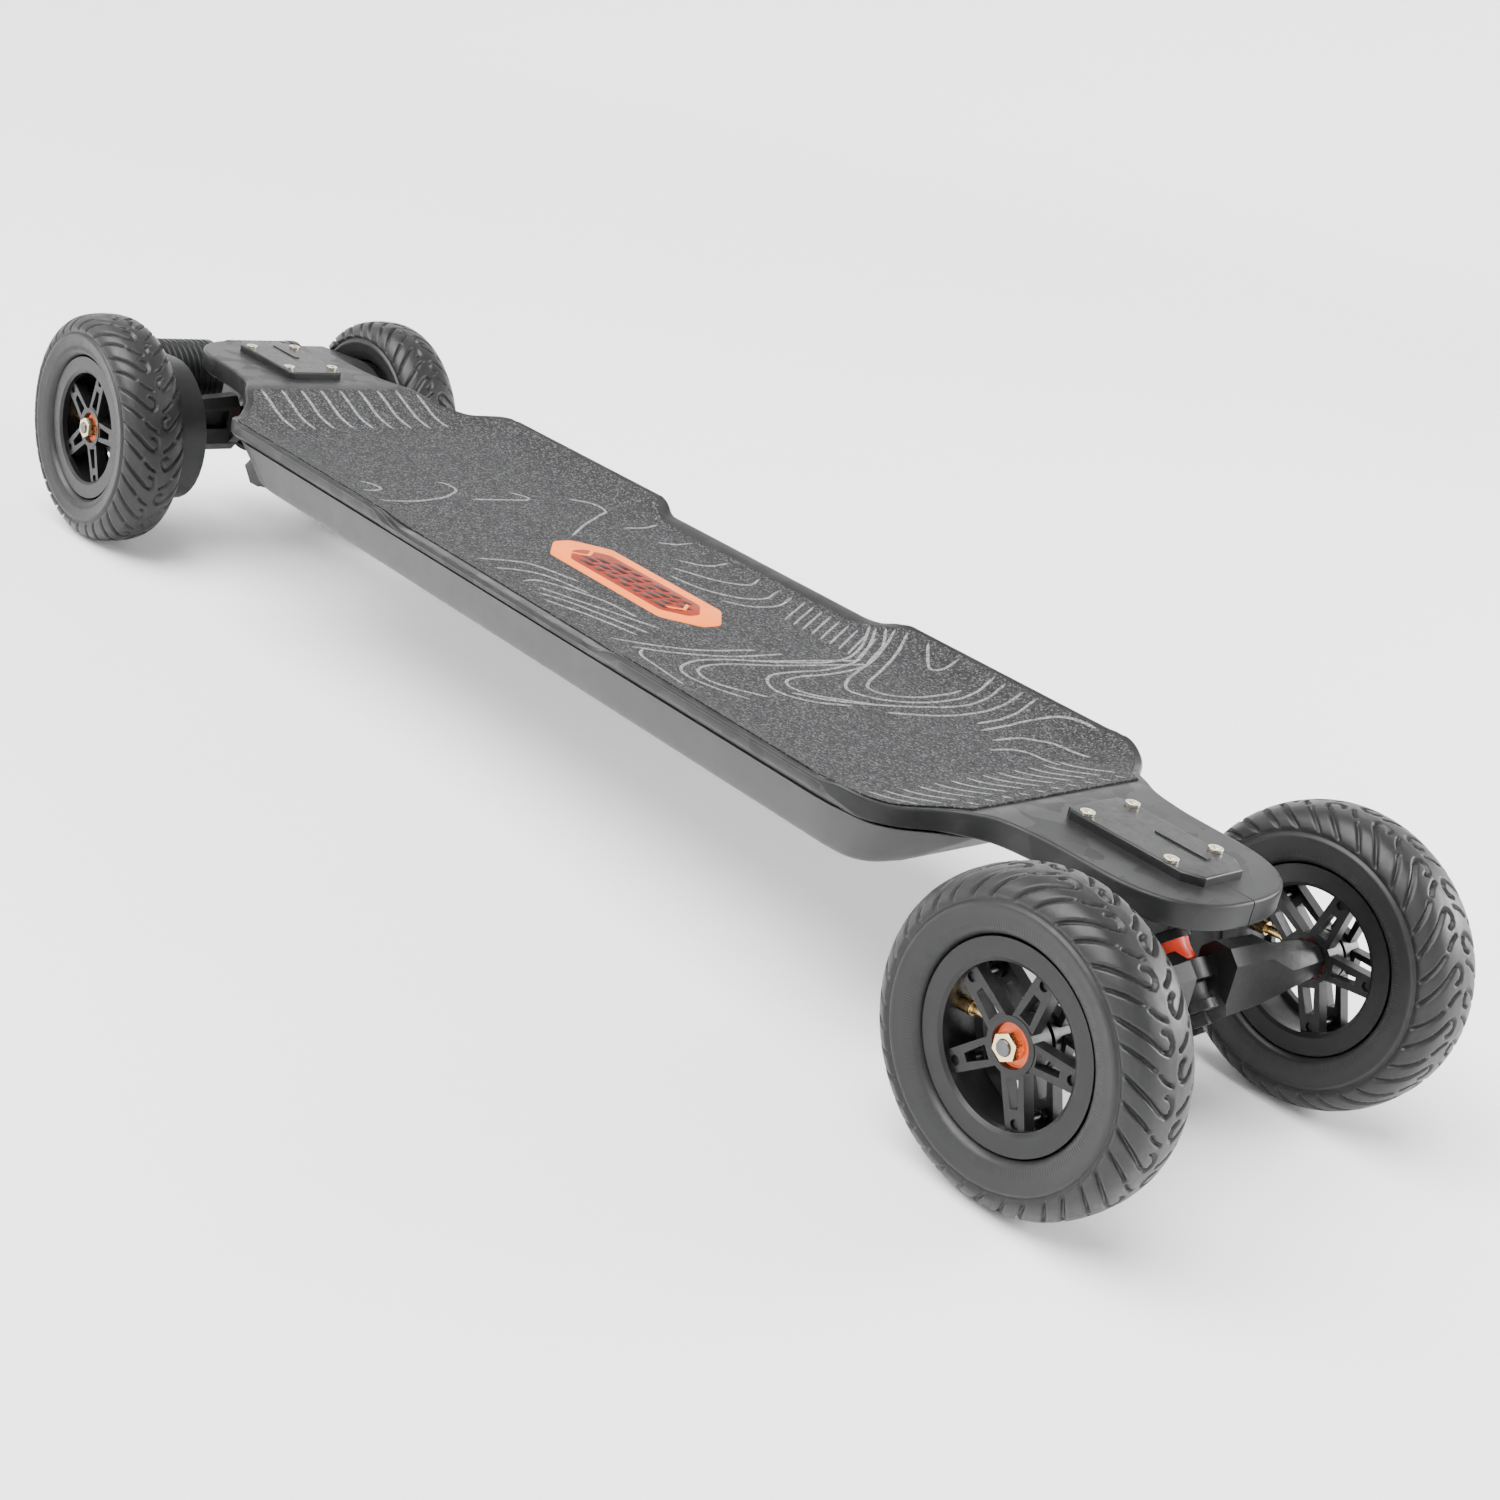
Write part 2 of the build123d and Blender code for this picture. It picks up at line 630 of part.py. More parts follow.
def truck_bolt(x, y):
    head = rod((x, y, NECK_Z + 5), (x, y, NECK_Z + 7), 4.0)
    socket = hexagon((x, y, NECK_Z + 5.8), (x, y, NECK_Z + 8), 4)
    shank = rod((x, y, NECK_UNDER - 11), (x, y, NECK_Z + 5), 2.5)
    nut = hexagon((x, y, NECK_UNDER - 10), (x, y, NECK_UNDER - 6), 8)
    return head + shank + nut - socket


def at_end(shape, end):
    return shape if end > 0 else mirrored_x(shape)


def build_chassis():
    deck_body = deck()
    save("deck", deck_body)
    save("grip_mat", mat_sheet(deck_blank()))
    save("badge_plate", badge())
    save("enclosure", enclosure(deck_body))
    save("enclosure_gasket", gasket(deck_body))
    save("enclosure_screws", group([enclosure_screw(x, y) for x, y in SCREW_POINTS]))
    save("battery_cells", group(battery_cells()))
    save("speed_controller", speed_controller())
    save("power_switch", power_switch())
    save("power_button", power_button())
    save("charge_port", charge_port())
    save("port_cap", port_cap())
    save("neck_plates", group([at_end(neck_plate(), e) for e in ENDS.values()]))
    save("truck_bolts", group([at_end(truck_bolt(x, y), e) for e in ENDS.values() for x, y in BOLT_POINTS]))


def build_trucks():
    washers = [cup_washer(-22, -20, 3), cup_washer(18, 20, -3)]
    nut = hexagon(tp(0, 20), tp(0, 27), 14.6) - rod(tp(0, 19), tp(0, 28), KINGPIN_R + 0.02)
    save("pivot_cups", group([at_end(pivot_cup(), e) for e in ENDS.values()]))
    save("kingpins", group([at_end(kingpin(), e) for e in ENDS.values()]))
    save("kingpin_nuts", group([at_end(nut, e) for e in ENDS.values()]))
    save("cup_washers", group([at_end(w, e) for e in ENDS.values() for w in washers]))
    bushings = [bushing(-20, -5.3), bushing(5.3, 18)]
    for name, end in ENDS.items():
        save(name + "_baseplate", at_end(baseplate(), end))
        save(name + "_bushings", group([at_end(b, end) for b in bushings]))
        save(name + "_hanger", at_end(hanger(), end))
        save(name + "_axles", group([at_end(a, end) for a in axle_pair()]))
        save(name + "_axle_nuts", group([at_end(n, end) for n in axle_hardware()]))


def build_wheels():
    half = hub_half() - valve_hole()
    other = half.mirror(Plane.XZ)
    bearings = [bearing(BEARING_FACE - BEARING_W), bearing(-BEARING_FACE)]
    bolts = [hub_bolt(i) for i in range(SPOKES)]
    for end_name, end in ENDS.items():
        for side_name, side in SIDES.items():
            tag = "_" + end_name + "_" + side_name
            save("tyre" + tag, place(tyre(), end, side))
            save("hub_halves" + tag, group([place(half, end, side), place(other, end, side)]))
            save("bearings" + tag, group([place(b, end, side) for b in bearings]))
            save("hub_bolts" + tag, group([place(b, end, side) for b in bolts]))
            save("valve" + tag, place(valve(), end, side))


def build_drive():
    rear_hanger = at_end(hanger(), -1)
    pulley = wheel_pulley().moved(Location((-AXLE_X, 0, AXLE_Z)))
    for name, side in SIDES.items():
        parts = {
            "motor_case_": motor_case(), "motor_rotor_": motor_rotor(), "motor_pulley_": motor_pulley(),
            "wheel_pulley_": pulley, "drive_cover_": drive_cover(rear_hanger),
        }
        for prefix, shape in parts.items():
            save(prefix + name, shape if side > 0 else mirrored_y(shape))
    belt = drive_belt()
    mount = motor_mount(rear_hanger)
    save("drive_belts", group([belt, mirrored_y(belt)]))
    save("motor_mounts", group([mount, mirrored_y(mount)]))


build_chassis()
build_trucks()
build_wheels()
build_drive()
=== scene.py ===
import json
from itertools import product
from math import atan2, cos, pi, radians, sin

import bmesh
import bpy
import numpy as np
from mathutils import Matrix, Vector

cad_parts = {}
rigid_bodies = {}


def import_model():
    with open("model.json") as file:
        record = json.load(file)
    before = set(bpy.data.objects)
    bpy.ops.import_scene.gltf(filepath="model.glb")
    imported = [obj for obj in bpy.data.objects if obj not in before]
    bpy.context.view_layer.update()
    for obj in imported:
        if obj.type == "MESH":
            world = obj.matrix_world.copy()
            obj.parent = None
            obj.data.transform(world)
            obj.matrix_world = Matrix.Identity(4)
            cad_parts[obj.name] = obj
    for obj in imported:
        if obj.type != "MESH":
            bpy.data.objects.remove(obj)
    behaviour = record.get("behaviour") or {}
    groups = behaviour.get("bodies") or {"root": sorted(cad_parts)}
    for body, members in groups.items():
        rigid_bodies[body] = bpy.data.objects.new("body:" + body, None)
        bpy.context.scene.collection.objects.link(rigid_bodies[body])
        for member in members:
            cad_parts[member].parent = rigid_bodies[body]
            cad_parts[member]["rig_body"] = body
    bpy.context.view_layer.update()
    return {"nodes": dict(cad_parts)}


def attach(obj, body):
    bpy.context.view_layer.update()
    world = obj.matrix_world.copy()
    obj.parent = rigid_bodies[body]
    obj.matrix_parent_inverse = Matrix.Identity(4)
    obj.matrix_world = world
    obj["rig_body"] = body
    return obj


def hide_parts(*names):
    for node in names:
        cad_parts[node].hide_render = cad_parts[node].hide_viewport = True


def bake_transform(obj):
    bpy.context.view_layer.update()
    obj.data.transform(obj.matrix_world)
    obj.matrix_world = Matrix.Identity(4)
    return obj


# Electric skateboard, dressed over its CAD frame. Lengths in the tables are millimetres.
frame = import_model()
NODES = frame["nodes"]
MM = 0.001
AXLE_X = 464.0
WHEEL_Y = 118.0
TYRE_R = 82.5
RING_X, RING_Z = 456.0, 88.0
KINGPIN_TILT = radians(45)
PLATFORM_TOP, PLATFORM_LOW = 127.7, 121.7
NECK_RISE, NECK_RISE_LOW = 16.8, 8.8
FRONT_CORNER, REAR_CORNER = 338.0, 320.0
BADGE_X = 5.0


# ---------------------------------------------------------------- materials
def link(tree, source, output, target, socket):
    tree.links.new(source.outputs[output], target.inputs[socket])


def noise(tree, coord, scale, detail=4.0, roughness=0.55):
    node = tree.nodes.new("ShaderNodeTexNoise")
    node.inputs["Scale"].default_value = scale
    node.inputs["Detail"].default_value = detail
    node.inputs["Roughness"].default_value = roughness
    link(tree, coord, "Object", node, "Vector")
    return node


def ramp(tree, source, output, stops):
    node = tree.nodes.new("ShaderNodeValToRGB")
    elements = node.color_ramp.elements
    while len(elements) < len(stops):
        elements.new(0.5)
    for element, (place, colour) in zip(elements, stops):
        element.position = place
        element.color = (*colour, 1.0)
    link(tree, source, output, node, "Fac")
    return node


def mapped(tree, source, output, low, high):
    node = tree.nodes.new("ShaderNodeMapRange")
    node.inputs["From Min"].default_value = 0.3
    node.inputs["From Max"].default_value = 0.7
    node.inputs["To Min"].default_value = low
    node.inputs["To Max"].default_value = high
    link(tree, source, output, node, "Value")
    return node


def shade(colour, factor):
    return tuple(min(1.0, c * factor) for c in colour)


def material(name, colour, rough, metal=0.0, patch=35.0, depth=0.18, spread=0.07,
             grain=900.0, grain_height=0.02, coat=0.0, sheen_level=0.35):
    """Base colour drifts over large patches, roughness over smaller ones; a fine grain bumps the surface."""
    made = bpy.data.materials.new(name)
    made.use_nodes = True
    tree = made.node_tree
    shader = tree.nodes["Principled BSDF"]
    shader.inputs["Metallic"].default_value = metal
    shader.inputs["Coat Weight"].default_value = coat
    shader.inputs["Specular IOR Level"].default_value = sheen_level
    coord = tree.nodes.new("ShaderNodeTexCoord")
    broad = noise(tree, coord, patch)
    tint = ramp(tree, broad, "Fac", [(0.3, shade(colour, 1 - depth)), (0.7, shade(colour, 1 + depth))])
    link(tree, tint, "Color", shader, "Base Color")
    wear = noise(tree, coord, patch * 4.3, 6.0, 0.65)
    gloss = mapped(tree, wear, "Fac", max(0.02, rough - spread), min(1.0, rough + spread))
    link(tree, gloss, "Result", shader, "Roughness")
    fine = noise(tree, coord, grain, 3.0)
    bump = tree.nodes.new("ShaderNodeBump")
    bump.inputs["Strength"].default_value = 0.6
    bump.inputs["Distance"].default_value = grain_height * MM
    link(tree, fine, "Fac", bump, "Height")
    link(tree, bump, "Normal", shader, "Normal")
    return made


def add_grit(made, colour, cell, height, bright=2.4):
    """Loose mineral grit: light and dark grains over the base colour, with a coarse bump."""
    tree = made.node_tree
    shader = tree.nodes["Principled BSDF"]
    coord = next(n for n in tree.nodes if n.type == "TEX_COORD")
    grains = tree.nodes.new("ShaderNodeTexVoronoi")
    grains.inputs["Scale"].default_value = cell
    link(tree, coord, "Object", grains, "Vector")
    speck = tree.nodes.new("ShaderNodeSeparateColor")
    link(tree, grains, "Color", speck, "Color")
    grades = ((0.0, 0.45), (0.45, 0.9), (0.8, 1.25), (1.0, bright))
    tint = ramp(tree, speck, "Red", [(place, shade(colour, factor)) for place, factor in grades])
    link(tree, tint, "Color", shader, "Base Color")
    bump = next(n for n in tree.nodes if n.type == "BUMP")
    bump.inputs["Distance"].default_value = height * MM
    bump.inputs["Strength"].default_value = 1.0
    link(tree, grains, "Distance", bump, "Height")
    return made


def add_flakes(made, colour, cell):
    """Forged composite: overlapping chopped tows of slightly different sheen."""
    tree = made.node_tree
    shader = tree.nodes["Principled BSDF"]
    coord = next(n for n in tree.nodes if n.type == "TEX_COORD")
    drift = noise(tree, coord, cell * 0.6, 2.0)
    push = tree.nodes.new("ShaderNodeVectorMath")
    push.operation = "MULTIPLY_ADD"
    push.inputs[1].default_value = (0.012, 0.012, 0.012)
    link(tree, drift, "Color", push, 0)
    link(tree, coord, "Object", push, 2)
    tows = tree.nodes.new("ShaderNodeTexVoronoi")
    tows.inputs["Scale"].default_value = cell
    tree.links.new(push.outputs[0], tows.inputs["Vector"])
    speck = tree.nodes.new("ShaderNodeSeparateColor")
    link(tree, tows, "Color", speck, "Color")
    tint = ramp(tree, speck, "Green", [(0.0, shade(colour, 0.8)), (1.0, shade(colour, 1.25))])
    link(tree, tint, "Color", shader, "Base Color")
    gloss = mapped(tree, speck, "Blue", 0.36, 0.46)
    link(tree, gloss, "Result", shader, "Roughness")
    return made


MATERIALS = {
    "deck_composite": material("deck_composite", (0.014, 0.014, 0.0145), 0.42, sheen_level=0.25),
    "grip": material("grip", (0.040, 0.040, 0.041), 0.85, patch=14.0, sheen_level=0.12),
    "badge": material("badge", (0.92, 0.20, 0.025), 0.5, depth=0.06, sheen_level=0.15),
    "enclosure_shell": material("enclosure_shell", (0.042, 0.042, 0.043), 0.40, patch=18.0, depth=0.08,
                                grain=1500.0),
    "seal_rubber": material("seal_rubber", (0.018, 0.018, 0.018), 0.7),
    "black_screw": material("black_screw", (0.03, 0.03, 0.031), 0.35, metal=0.8, patch=200.0),
    "cell_wrap": material("cell_wrap", (0.05, 0.16, 0.30), 0.3, depth=0.1),
    "controller": material("controller", (0.03, 0.10, 0.05), 0.5, patch=120.0),
    "switch_plastic": material("switch_plastic", (0.02, 0.02, 0.021), 0.4, patch=90.0),
    "button_plastic": material("button_plastic", (0.06, 0.06, 0.062), 0.32, patch=90.0),
    "cap_rubber": material("cap_rubber", (0.025, 0.025, 0.025), 0.72, patch=90.0),
    "plate_black": material("plate_black", (0.010, 0.010, 0.0105), 0.36, patch=60.0, grain=2200.0),
    "zinc_steel": material("zinc_steel", (0.74, 0.70, 0.58), 0.24, metal=1.0, patch=160.0, depth=0.12),
    "cast_black": material("cast_black", (0.012, 0.012, 0.0125), 0.42, patch=70.0,
                           grain=1300.0, grain_height=0.05),
    "cup_urethane": material("cup_urethane", (0.012, 0.012, 0.012), 0.5, patch=120.0),
    "bushing_urethane": material("bushing_urethane", (0.78, 0.045, 0.012), 0.34, patch=90.0, depth=0.1),
    "yellow_zinc": material("yellow_zinc", (0.80, 0.66, 0.38), 0.26, metal=1.0, patch=160.0, depth=0.12),
    "axle_steel": material("axle_steel", (0.12, 0.12, 0.125), 0.3, metal=1.0, patch=160.0),
    "motor_black": material("motor_black", (0.014, 0.014, 0.015), 0.38, metal=0.35, patch=60.0),
    "rotor_steel": material("rotor_steel", (0.40, 0.40, 0.41), 0.35, metal=1.0, patch=120.0),
    "pulley_metal": material("pulley_metal", (0.30, 0.30, 0.31), 0.36, metal=1.0, patch=120.0),
    "belt_rubber": material("belt_rubber", (0.02, 0.02, 0.02), 0.75, patch=120.0),
    "cover_black": material("cover_black", (0.013, 0.013, 0.0135), 0.45, patch=50.0, grain=1500.0),
    "tyre_rubber": material("tyre_rubber", (0.0125, 0.0125, 0.013), 0.42, patch=45.0, depth=0.14,
                            grain=1400.0),
    "hub_nylon": material("hub_nylon", (0.006, 0.006, 0.0063), 0.36, patch=90.0, grain=1600.0),
    "bearing_shield": material("bearing_shield", (0.88, 0.15, 0.045), 0.38, patch=200.0, depth=0.08),
    "valve_brass": material("valve_brass", (0.78, 0.56, 0.25), 0.3, metal=1.0, patch=200.0),
}
add_grit(MATERIALS["grip"], (0.038, 0.038, 0.039), 1000.0, 0.45, 3.2)
add_flakes(MATERIALS["deck_composite"], (0.014, 0.014, 0.0145), 75.0)
LINE_PAINT = material("grip_line_paint", (0.19, 0.19, 0.192), 0.7, patch=300.0, depth=0.2, sheen_level=0.2)
add_grit(LINE_PAINT, (0.19, 0.19, 0.192), 900.0, 0.25, 1.6)
BADGE_DARK = material("badge_dark", (0.022, 0.010, 0.009), 0.5, patch=120.0, sheen_level=0.15)
BADGE_RED = material("badge_red", (0.24, 0.022, 0.008), 0.5, patch=120.0, sheen_level=0.15)
SLOTS = {
    "deck_composite": ["deck"],
    "grip": ["grip_mat"],
    "badge": ["badge_plate"],
    "enclosure_shell": ["enclosure"],
    "seal_rubber": ["enclosure_gasket"],
    "cell_wrap": ["battery_cells"],
    "controller": ["speed_controller"],
    "switch_plastic": ["power_switch", "charge_port"],
    "button_plastic": ["power_button"],
    "cap_rubber": ["port_cap"],
    "plate_black": ["neck_plates"],
    "cup_urethane": ["pivot_cups"],
    "axle_steel": ["front_axles", "rear_axles"],
    "zinc_steel": ["truck_bolts"],
    "yellow_zinc": ["front_axle_nuts", "rear_axle_nuts"],
    "cast_black": ["front_baseplate", "rear_baseplate", "front_hanger", "rear_hanger"],
    "bushing_urethane": ["front_bushings", "rear_bushings"],
    "belt_rubber": ["drive_belts"],
    "motor_black": ["motor_mounts"],
    "black_screw": ["enclosure_screws", "kingpin_nuts", "cup_washers", "kingpins"],
}
WHEEL_SLOTS = (("tyre_rubber", "tyre"), ("hub_nylon", "hub_halves"), ("bearing_shield", "bearings"),
               ("valve_brass", "valve"))
for side in ("left", "right"):
    SLOTS["motor_black"].append("motor_case_" + side)
    SLOTS.setdefault("rotor_steel", []).append("motor_rotor_" + side)
    SLOTS.setdefault("cover_black", []).append("drive_cover_" + side)
    for name in ("motor_pulley_", "wheel_pulley_"):
        SLOTS.setdefault("pulley_metal", []).append(name + side)
    for end in ("front", "rear"):
        corner = "_" + end + "_" + side
        SLOTS["black_screw"].append("hub_bolts" + corner)
        for slot_name, name in WHEEL_SLOTS:
            SLOTS.setdefault(slot_name, []).append(name + corner)
SLOT_OF = {node: slot_name for slot_name, nodes in SLOTS.items() for node in nodes}


# ---------------------------------------------------------------- mesh helpers
def new_object(name, verts, faces, smooth=True):
    mesh = bpy.data.meshes.new(name)
    mesh.from_pydata([tuple(c * MM for c in v) for v in verts], [], faces)
    mesh.update()
    made = bpy.data.objects.new(name, mesh)
    bpy.context.scene.collection.objects.link(made)
    if smooth:
        mesh.shade_smooth()
    return made


def mark_sharp(mesh, angle):
    """Smooth faces, with the edges sharper than the angle kept crisp."""
    work = bmesh.new()
    work.from_mesh(mesh)
    for face in work.faces:
        face.smooth = True
    for edge in work.edges:
        edge.smooth = len(edge.link_faces) == 2 and edge.calc_face_angle(0.0) < radians(angle)
    work.to_mesh(mesh)
    work.free()


def fix_normals(mesh):
    work = bmesh.new()
    work.from_mesh(mesh)
    bmesh.ops.recalc_face_normals(work, faces=work.faces)
    work.to_mesh(mesh)
    work.free()


def weld(mesh):
    """Merge doubled points and turn all faces outward."""
    work = bmesh.new()
    work.from_mesh(mesh)
    bmesh.ops.remove_doubles(work, verts=work.verts, dist=1e-5)
    bmesh.ops.recalc_face_normals(work, faces=work.faces)
    work.to_mesh(mesh)
    work.free()


def finish_piece(made, node):
    """The piece stands for a CAD node: same body, same slot."""
    slot_name = SLOT_OF[node]
    if not made.data.materials:
        made.data.materials.append(MATERIALS[slot_name])
    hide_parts(node)
    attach(made, NODES[node]["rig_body"])
    return made


def edged_copy(node, width=0.5, angle=32.0, segments=2):
    """Copy of a CAD node with its facets merged and its edges rounded."""
    mesh = NODES[node].data.copy()
    mesh.materials.clear()
    work = bmesh.new()
    work.from_mesh(mesh)
    bmesh.ops.remove_doubles(work, verts=work.verts, dist=2e-6)
    bmesh.ops.dissolve_limit(work, angle_limit=radians(1.0), verts=work.verts, edges=work.edges)
    work.to_mesh(mesh)
    work.free()
    mark_sharp(mesh, angle)
    made = bpy.data.objects.new("vis_" + node, mesh)
    bpy.context.scene.collection.objects.link(made)
    bevel = made.modifiers.new("edges", "BEVEL")
    bevel.width = width * MM
    bevel.segments = segments
    bevel.limit_method = "ANGLE"
    bevel.angle_limit = radians(angle)
    bevel.use_clamp_overlap = True
    bevel.harden_normals = True
    return made


def bake(made):
    """Turn the piece's modifiers into plain mesh."""
    graph = bpy.context.evaluated_depsgraph_get()
    baked = bpy.data.meshes.new_from_object(made.evaluated_get(graph))
    made.modifiers.clear()
    made.data = baked


def cutter(name, verts, faces):
    made = new_object(name, verts, faces, smooth=False)
    fix_normals(made.data)
    return made


def apply_boolean(target, tool, operation="DIFFERENCE"):
    """Bake one boolean into the target's mesh and drop the tool."""
    modifier = target.modifiers.new("cut", "BOOLEAN")
    modifier.operation = operation
    modifier.object = tool
    modifier.solver = "EXACT"
    bake(target)
    bpy.data.objects.remove(tool)


def cylinder_mesh(centre, axis, radius, length, sides=40):
    """Closed cylinder starting at centre along axis, in millimetres."""
    turn = Vector(axis).to_track_quat("Z", "Y").to_matrix()
    verts, faces = [], []
    for z in (0.0, length):
        for i in range(sides):
            a = 2 * pi * i / sides
            verts.append(Vector(centre) + turn @ Vector((radius * cos(a), radius * sin(a), z)))
    for i in range(sides):
        j = (i + 1) % sides
        faces.append((i, j, sides + j, sides + i))
    faces.append(tuple(range(sides))[::-1])
    faces.append(tuple(range(sides, 2 * sides)))
    return verts, faces


def stitched(meshes):
    verts, faces = [], []
    for v, f in meshes:
        base = len(verts)
        verts += v
        faces += [tuple(base + i for i in face) for face in f]
    return verts, faces


def curve_points(points, step=2.0, closed=False, each=0):
    """Catmull-Rom through the points, at about one step, or with a fixed number of points in each span."""
    pts = [np.array(p, float) for p in points]
    if closed:
        pts = [pts[-1]] + pts + pts[:2]
    else:
        pts = [2 * pts[0] - pts[1]] + pts + [2 * pts[-1] - pts[-2]]
    out = []
    for a, b, c, d in zip(pts, pts[1:], pts[2:], pts[3:]):
        count = each or max(2, int(np.linalg.norm(c - b) / step))
        for i in range(count):
            t = i / count
            out.append(0.5 * (2 * b + (c - a) * t + (2 * a - 5 * b + 4 * c - d) * t ** 2
                              + (3 * b - a - 3 * c + d) * t ** 3))
    if not closed:
        out.append(pts[-2])
    return np.array(out)


# ---------------------------------------------------------------- deck
WAIST_TOP = ([0, 58, 80, 95.5, 104, 111.4, 112.6, 118], [127.7, 127.7, 128.4, 130.2, 133.2, 134, 133, 133])
WAIST_LOW = ([0, 58, 92, 110, 112.4, 112.6, 118], [121.7, 121.7, 124, 128, 130, 132, 132])
WING_TOP = ([0, 58, 80, 95.5, 108, 115.6, 117.6], [127.7, 127.7, 128.8, 131.8, 137.5, 141.6, 140.6])
WING_LOW = ([0, 58, 92, 110, 116.6, 117.6], [121.7, 121.7, 124, 128, 134, 138.6])


def softened(table):
    """Section heights by half width, with the polygon's corners eased."""
    ys = np.linspace(0, 118, 473)
    z = np.interp(ys, *table)
    kernel = np.exp(-0.5 * (np.arange(-16, 17) / 7.0) ** 2)
    kernel /= kernel.sum()
    padded = np.concatenate([z[16:0:-1], z, 2 * z[-1] - z[-2:-18:-1]])
    eased = np.convolve(padded, kernel, "valid")
    keep = np.clip((ys - 104) / 6, 0, 1)
    return ys, eased * (1 - keep) + z * keep


SECTIONS = {
    "waist_top": softened(WAIST_TOP),
    "waist_low": softened(WAIST_LOW),
    "wing_top": softened(WING_TOP),
    "wing_low": softened(WING_LOW),
}


def ease(t):
    t = np.clip(t, 0, 1)
    return t * t * (3 - 2 * t)


def wing_share(x):
    """0 in the waist, 1 in the wings."""
    return ease((x - 99) / 38) if x > 0 else ease((-x - 92) / 21)


def neck_rise(x):
    return NECK_RISE * ease((abs(x) - 292) / 80)


def neck_share(x):
    return ease((abs(x) - 300) / 66)


def height(x, y, face):
    """Deck surface height in millimetres; face is top or low."""
    y = abs(y)
    share = wing_share(x)
    waist = np.interp(y, *SECTIONS["waist_" + face])
    wing = np.interp(y, *SECTIONS["wing_" + face])
    z = waist * (1 - share) + wing * share
    flat = PLATFORM_TOP if face == "top" else PLATFORM_LOW
    z = z * (1 - neck_share(x)) + flat * neck_share(x)
    rise = neck_rise(x)
    if face == "low":
        rise *= NECK_RISE_LOW / NECK_RISE
    return z + rise


def end_outline(corner):
    """Half outline of one end in plan, from its wing round the corner to the neck's tip."""
    flange = [(corner - 36, 117.7), (corner - 20, 114), (corner - 8, 106), (corner, 97),
              (corner * 0.4 + 215, 78)]
    edge = [(362, 70), (370, 63), (380, 59.5), (400, 56), (430, 55)]
    tip = []
    for i in range(1, 16):
        a = radians(i * 6)
        tip.append((430 + 55 * sin(a) ** 0.85, 55 * cos(a) ** 0.75))
    return flange + edge + tip + [(485, 0.4)]


def resampled(points, spacing):
    """The same line with its points about one spacing apart."""
    pts = np.array(points, float)
    gaps = np.hypot(*np.diff(pts, axis=0).T)
    s = np.concatenate([[0], np.cumsum(gaps)])
    count = max(2, int(s[-1] / spacing))
    at = np.linspace(0, s[-1], count + 1)
    return np.stack([np.interp(at, s, pts[:, i]) for i in range(2)], 1)


def half_outline(front_end, rear_end, waist, spacing, easing=5):
    """Edge of one half in plan, rear to front, resampled and lightly eased."""
    rear = [(-x, y) for x, y in reversed(rear_end)]
    line = resampled(rear + waist + front_end, spacing)
    for _ in range(easing):
        line[1:-1] = (line[:-2] + 2 * line[1:-1] + line[2:]) / 4
    return line


DECK_EDGE = half_outline(end_outline(FRONT_CORNER), end_outline(REAR_CORNER),
                         [(-111, 117.6), (-94, 112.6), (101, 112.6), (135, 117.6)], 3.0)


def outward(line):
    """Unit vector across the line at each of its points, to the left of its direction."""
    d = np.gradient(line, axis=0)
    d /= np.maximum(np.hypot(d[:, 0], d[:, 1]), 1e-9)[:, None]
    return np.stack([-d[:, 1], d[:, 0]], 1)


def spine_x(x):
    """Where the row of points from the rim at x meets the centre line; drawn in at the round ends."""
    return x if abs(x) < 430 else np.sign(x) * (430 + (abs(x) - 430) * 0.72)


def shell_between(edge, top, low, radius, columns):
    """Closed sheet between two height functions, with a rounded rim. Mirrored over y = 0."""
    normal = outward(edge)
    rings = []
    for (x, y), n in zip(edge, normal):
        mid = (top(x, y) + low(x, y)) / 2
        r = min(radius, (top(x, y) - low(x, y)) * 0.48)
        foot = np.array([spine_x(x), 0.0])
        inner = np.array([x, y]) - n * r
        upper = [foot + (inner - foot) * t for t in columns]
        ring = [(p[0], p[1], top(p[0], p[1])) for p in upper]
        for a in (22.5, 45, 67.5):
            p = inner + n * r * sin(radians(a))
            ring.append((p[0], p[1], top(x, y) - r * (1 - cos(radians(a)))))
        ring.append((x, y, top(x, y) - r))
        ring.append((x, y, mid))
        ring.append((x, y, low(x, y) + r))
        for a in (67.5, 45, 22.5):
            p = inner + n * r * sin(radians(a))
            ring.append((p[0], p[1], low(x, y) + r * (1 - cos(radians(a)))))
        ring += [(p[0], p[1], low(p[0], p[1])) for p in upper[::-1]]
        rings.append(ring)
    count = len(rings[0])
    verts, faces = [], []
    for mirror in (1, -1):
        base = len(verts)
        for ring in rings:
            verts += [(x, max(y, 0.0) * mirror, z) for x, y, z in ring]
        for i in range(len(rings) - 1):
            for j in range(count - 1):
                a = base + i * count + j
                quad = (a, a + 1, a + count + 1, a + count)
                faces.append(quad if mirror > 0 else quad[::-1])
        for i in (0, len(rings) - 1):
            cap = tuple(base + i * count + j for j in range(count))
            faces.append(cap)
    return verts, faces


COLUMNS = list(np.linspace(0, 0.5, 8)) + list(np.linspace(0.53, 0.93, 18)) + [0.955, 0.975, 0.99, 1.0]


def build_deck():
    verts, faces = shell_between(DECK_EDGE, lambda x, y: height(x, y, "top"),
                                 lambda x, y: height(x, y, "low"), 1.8, COLUMNS)
    made = new_object("deck_body", verts, faces)
    weld(made.data)
    mark_sharp(made.data, 50)
    return finish_piece(made, "deck")


def mat_outline_end(corner):
    return [(corner - 38, 112.5), (corner - 22, 110), (corner - 11, 103), (corner - 4, 94),
            (corner * 0.4 + 211, 75), (358, 66)]


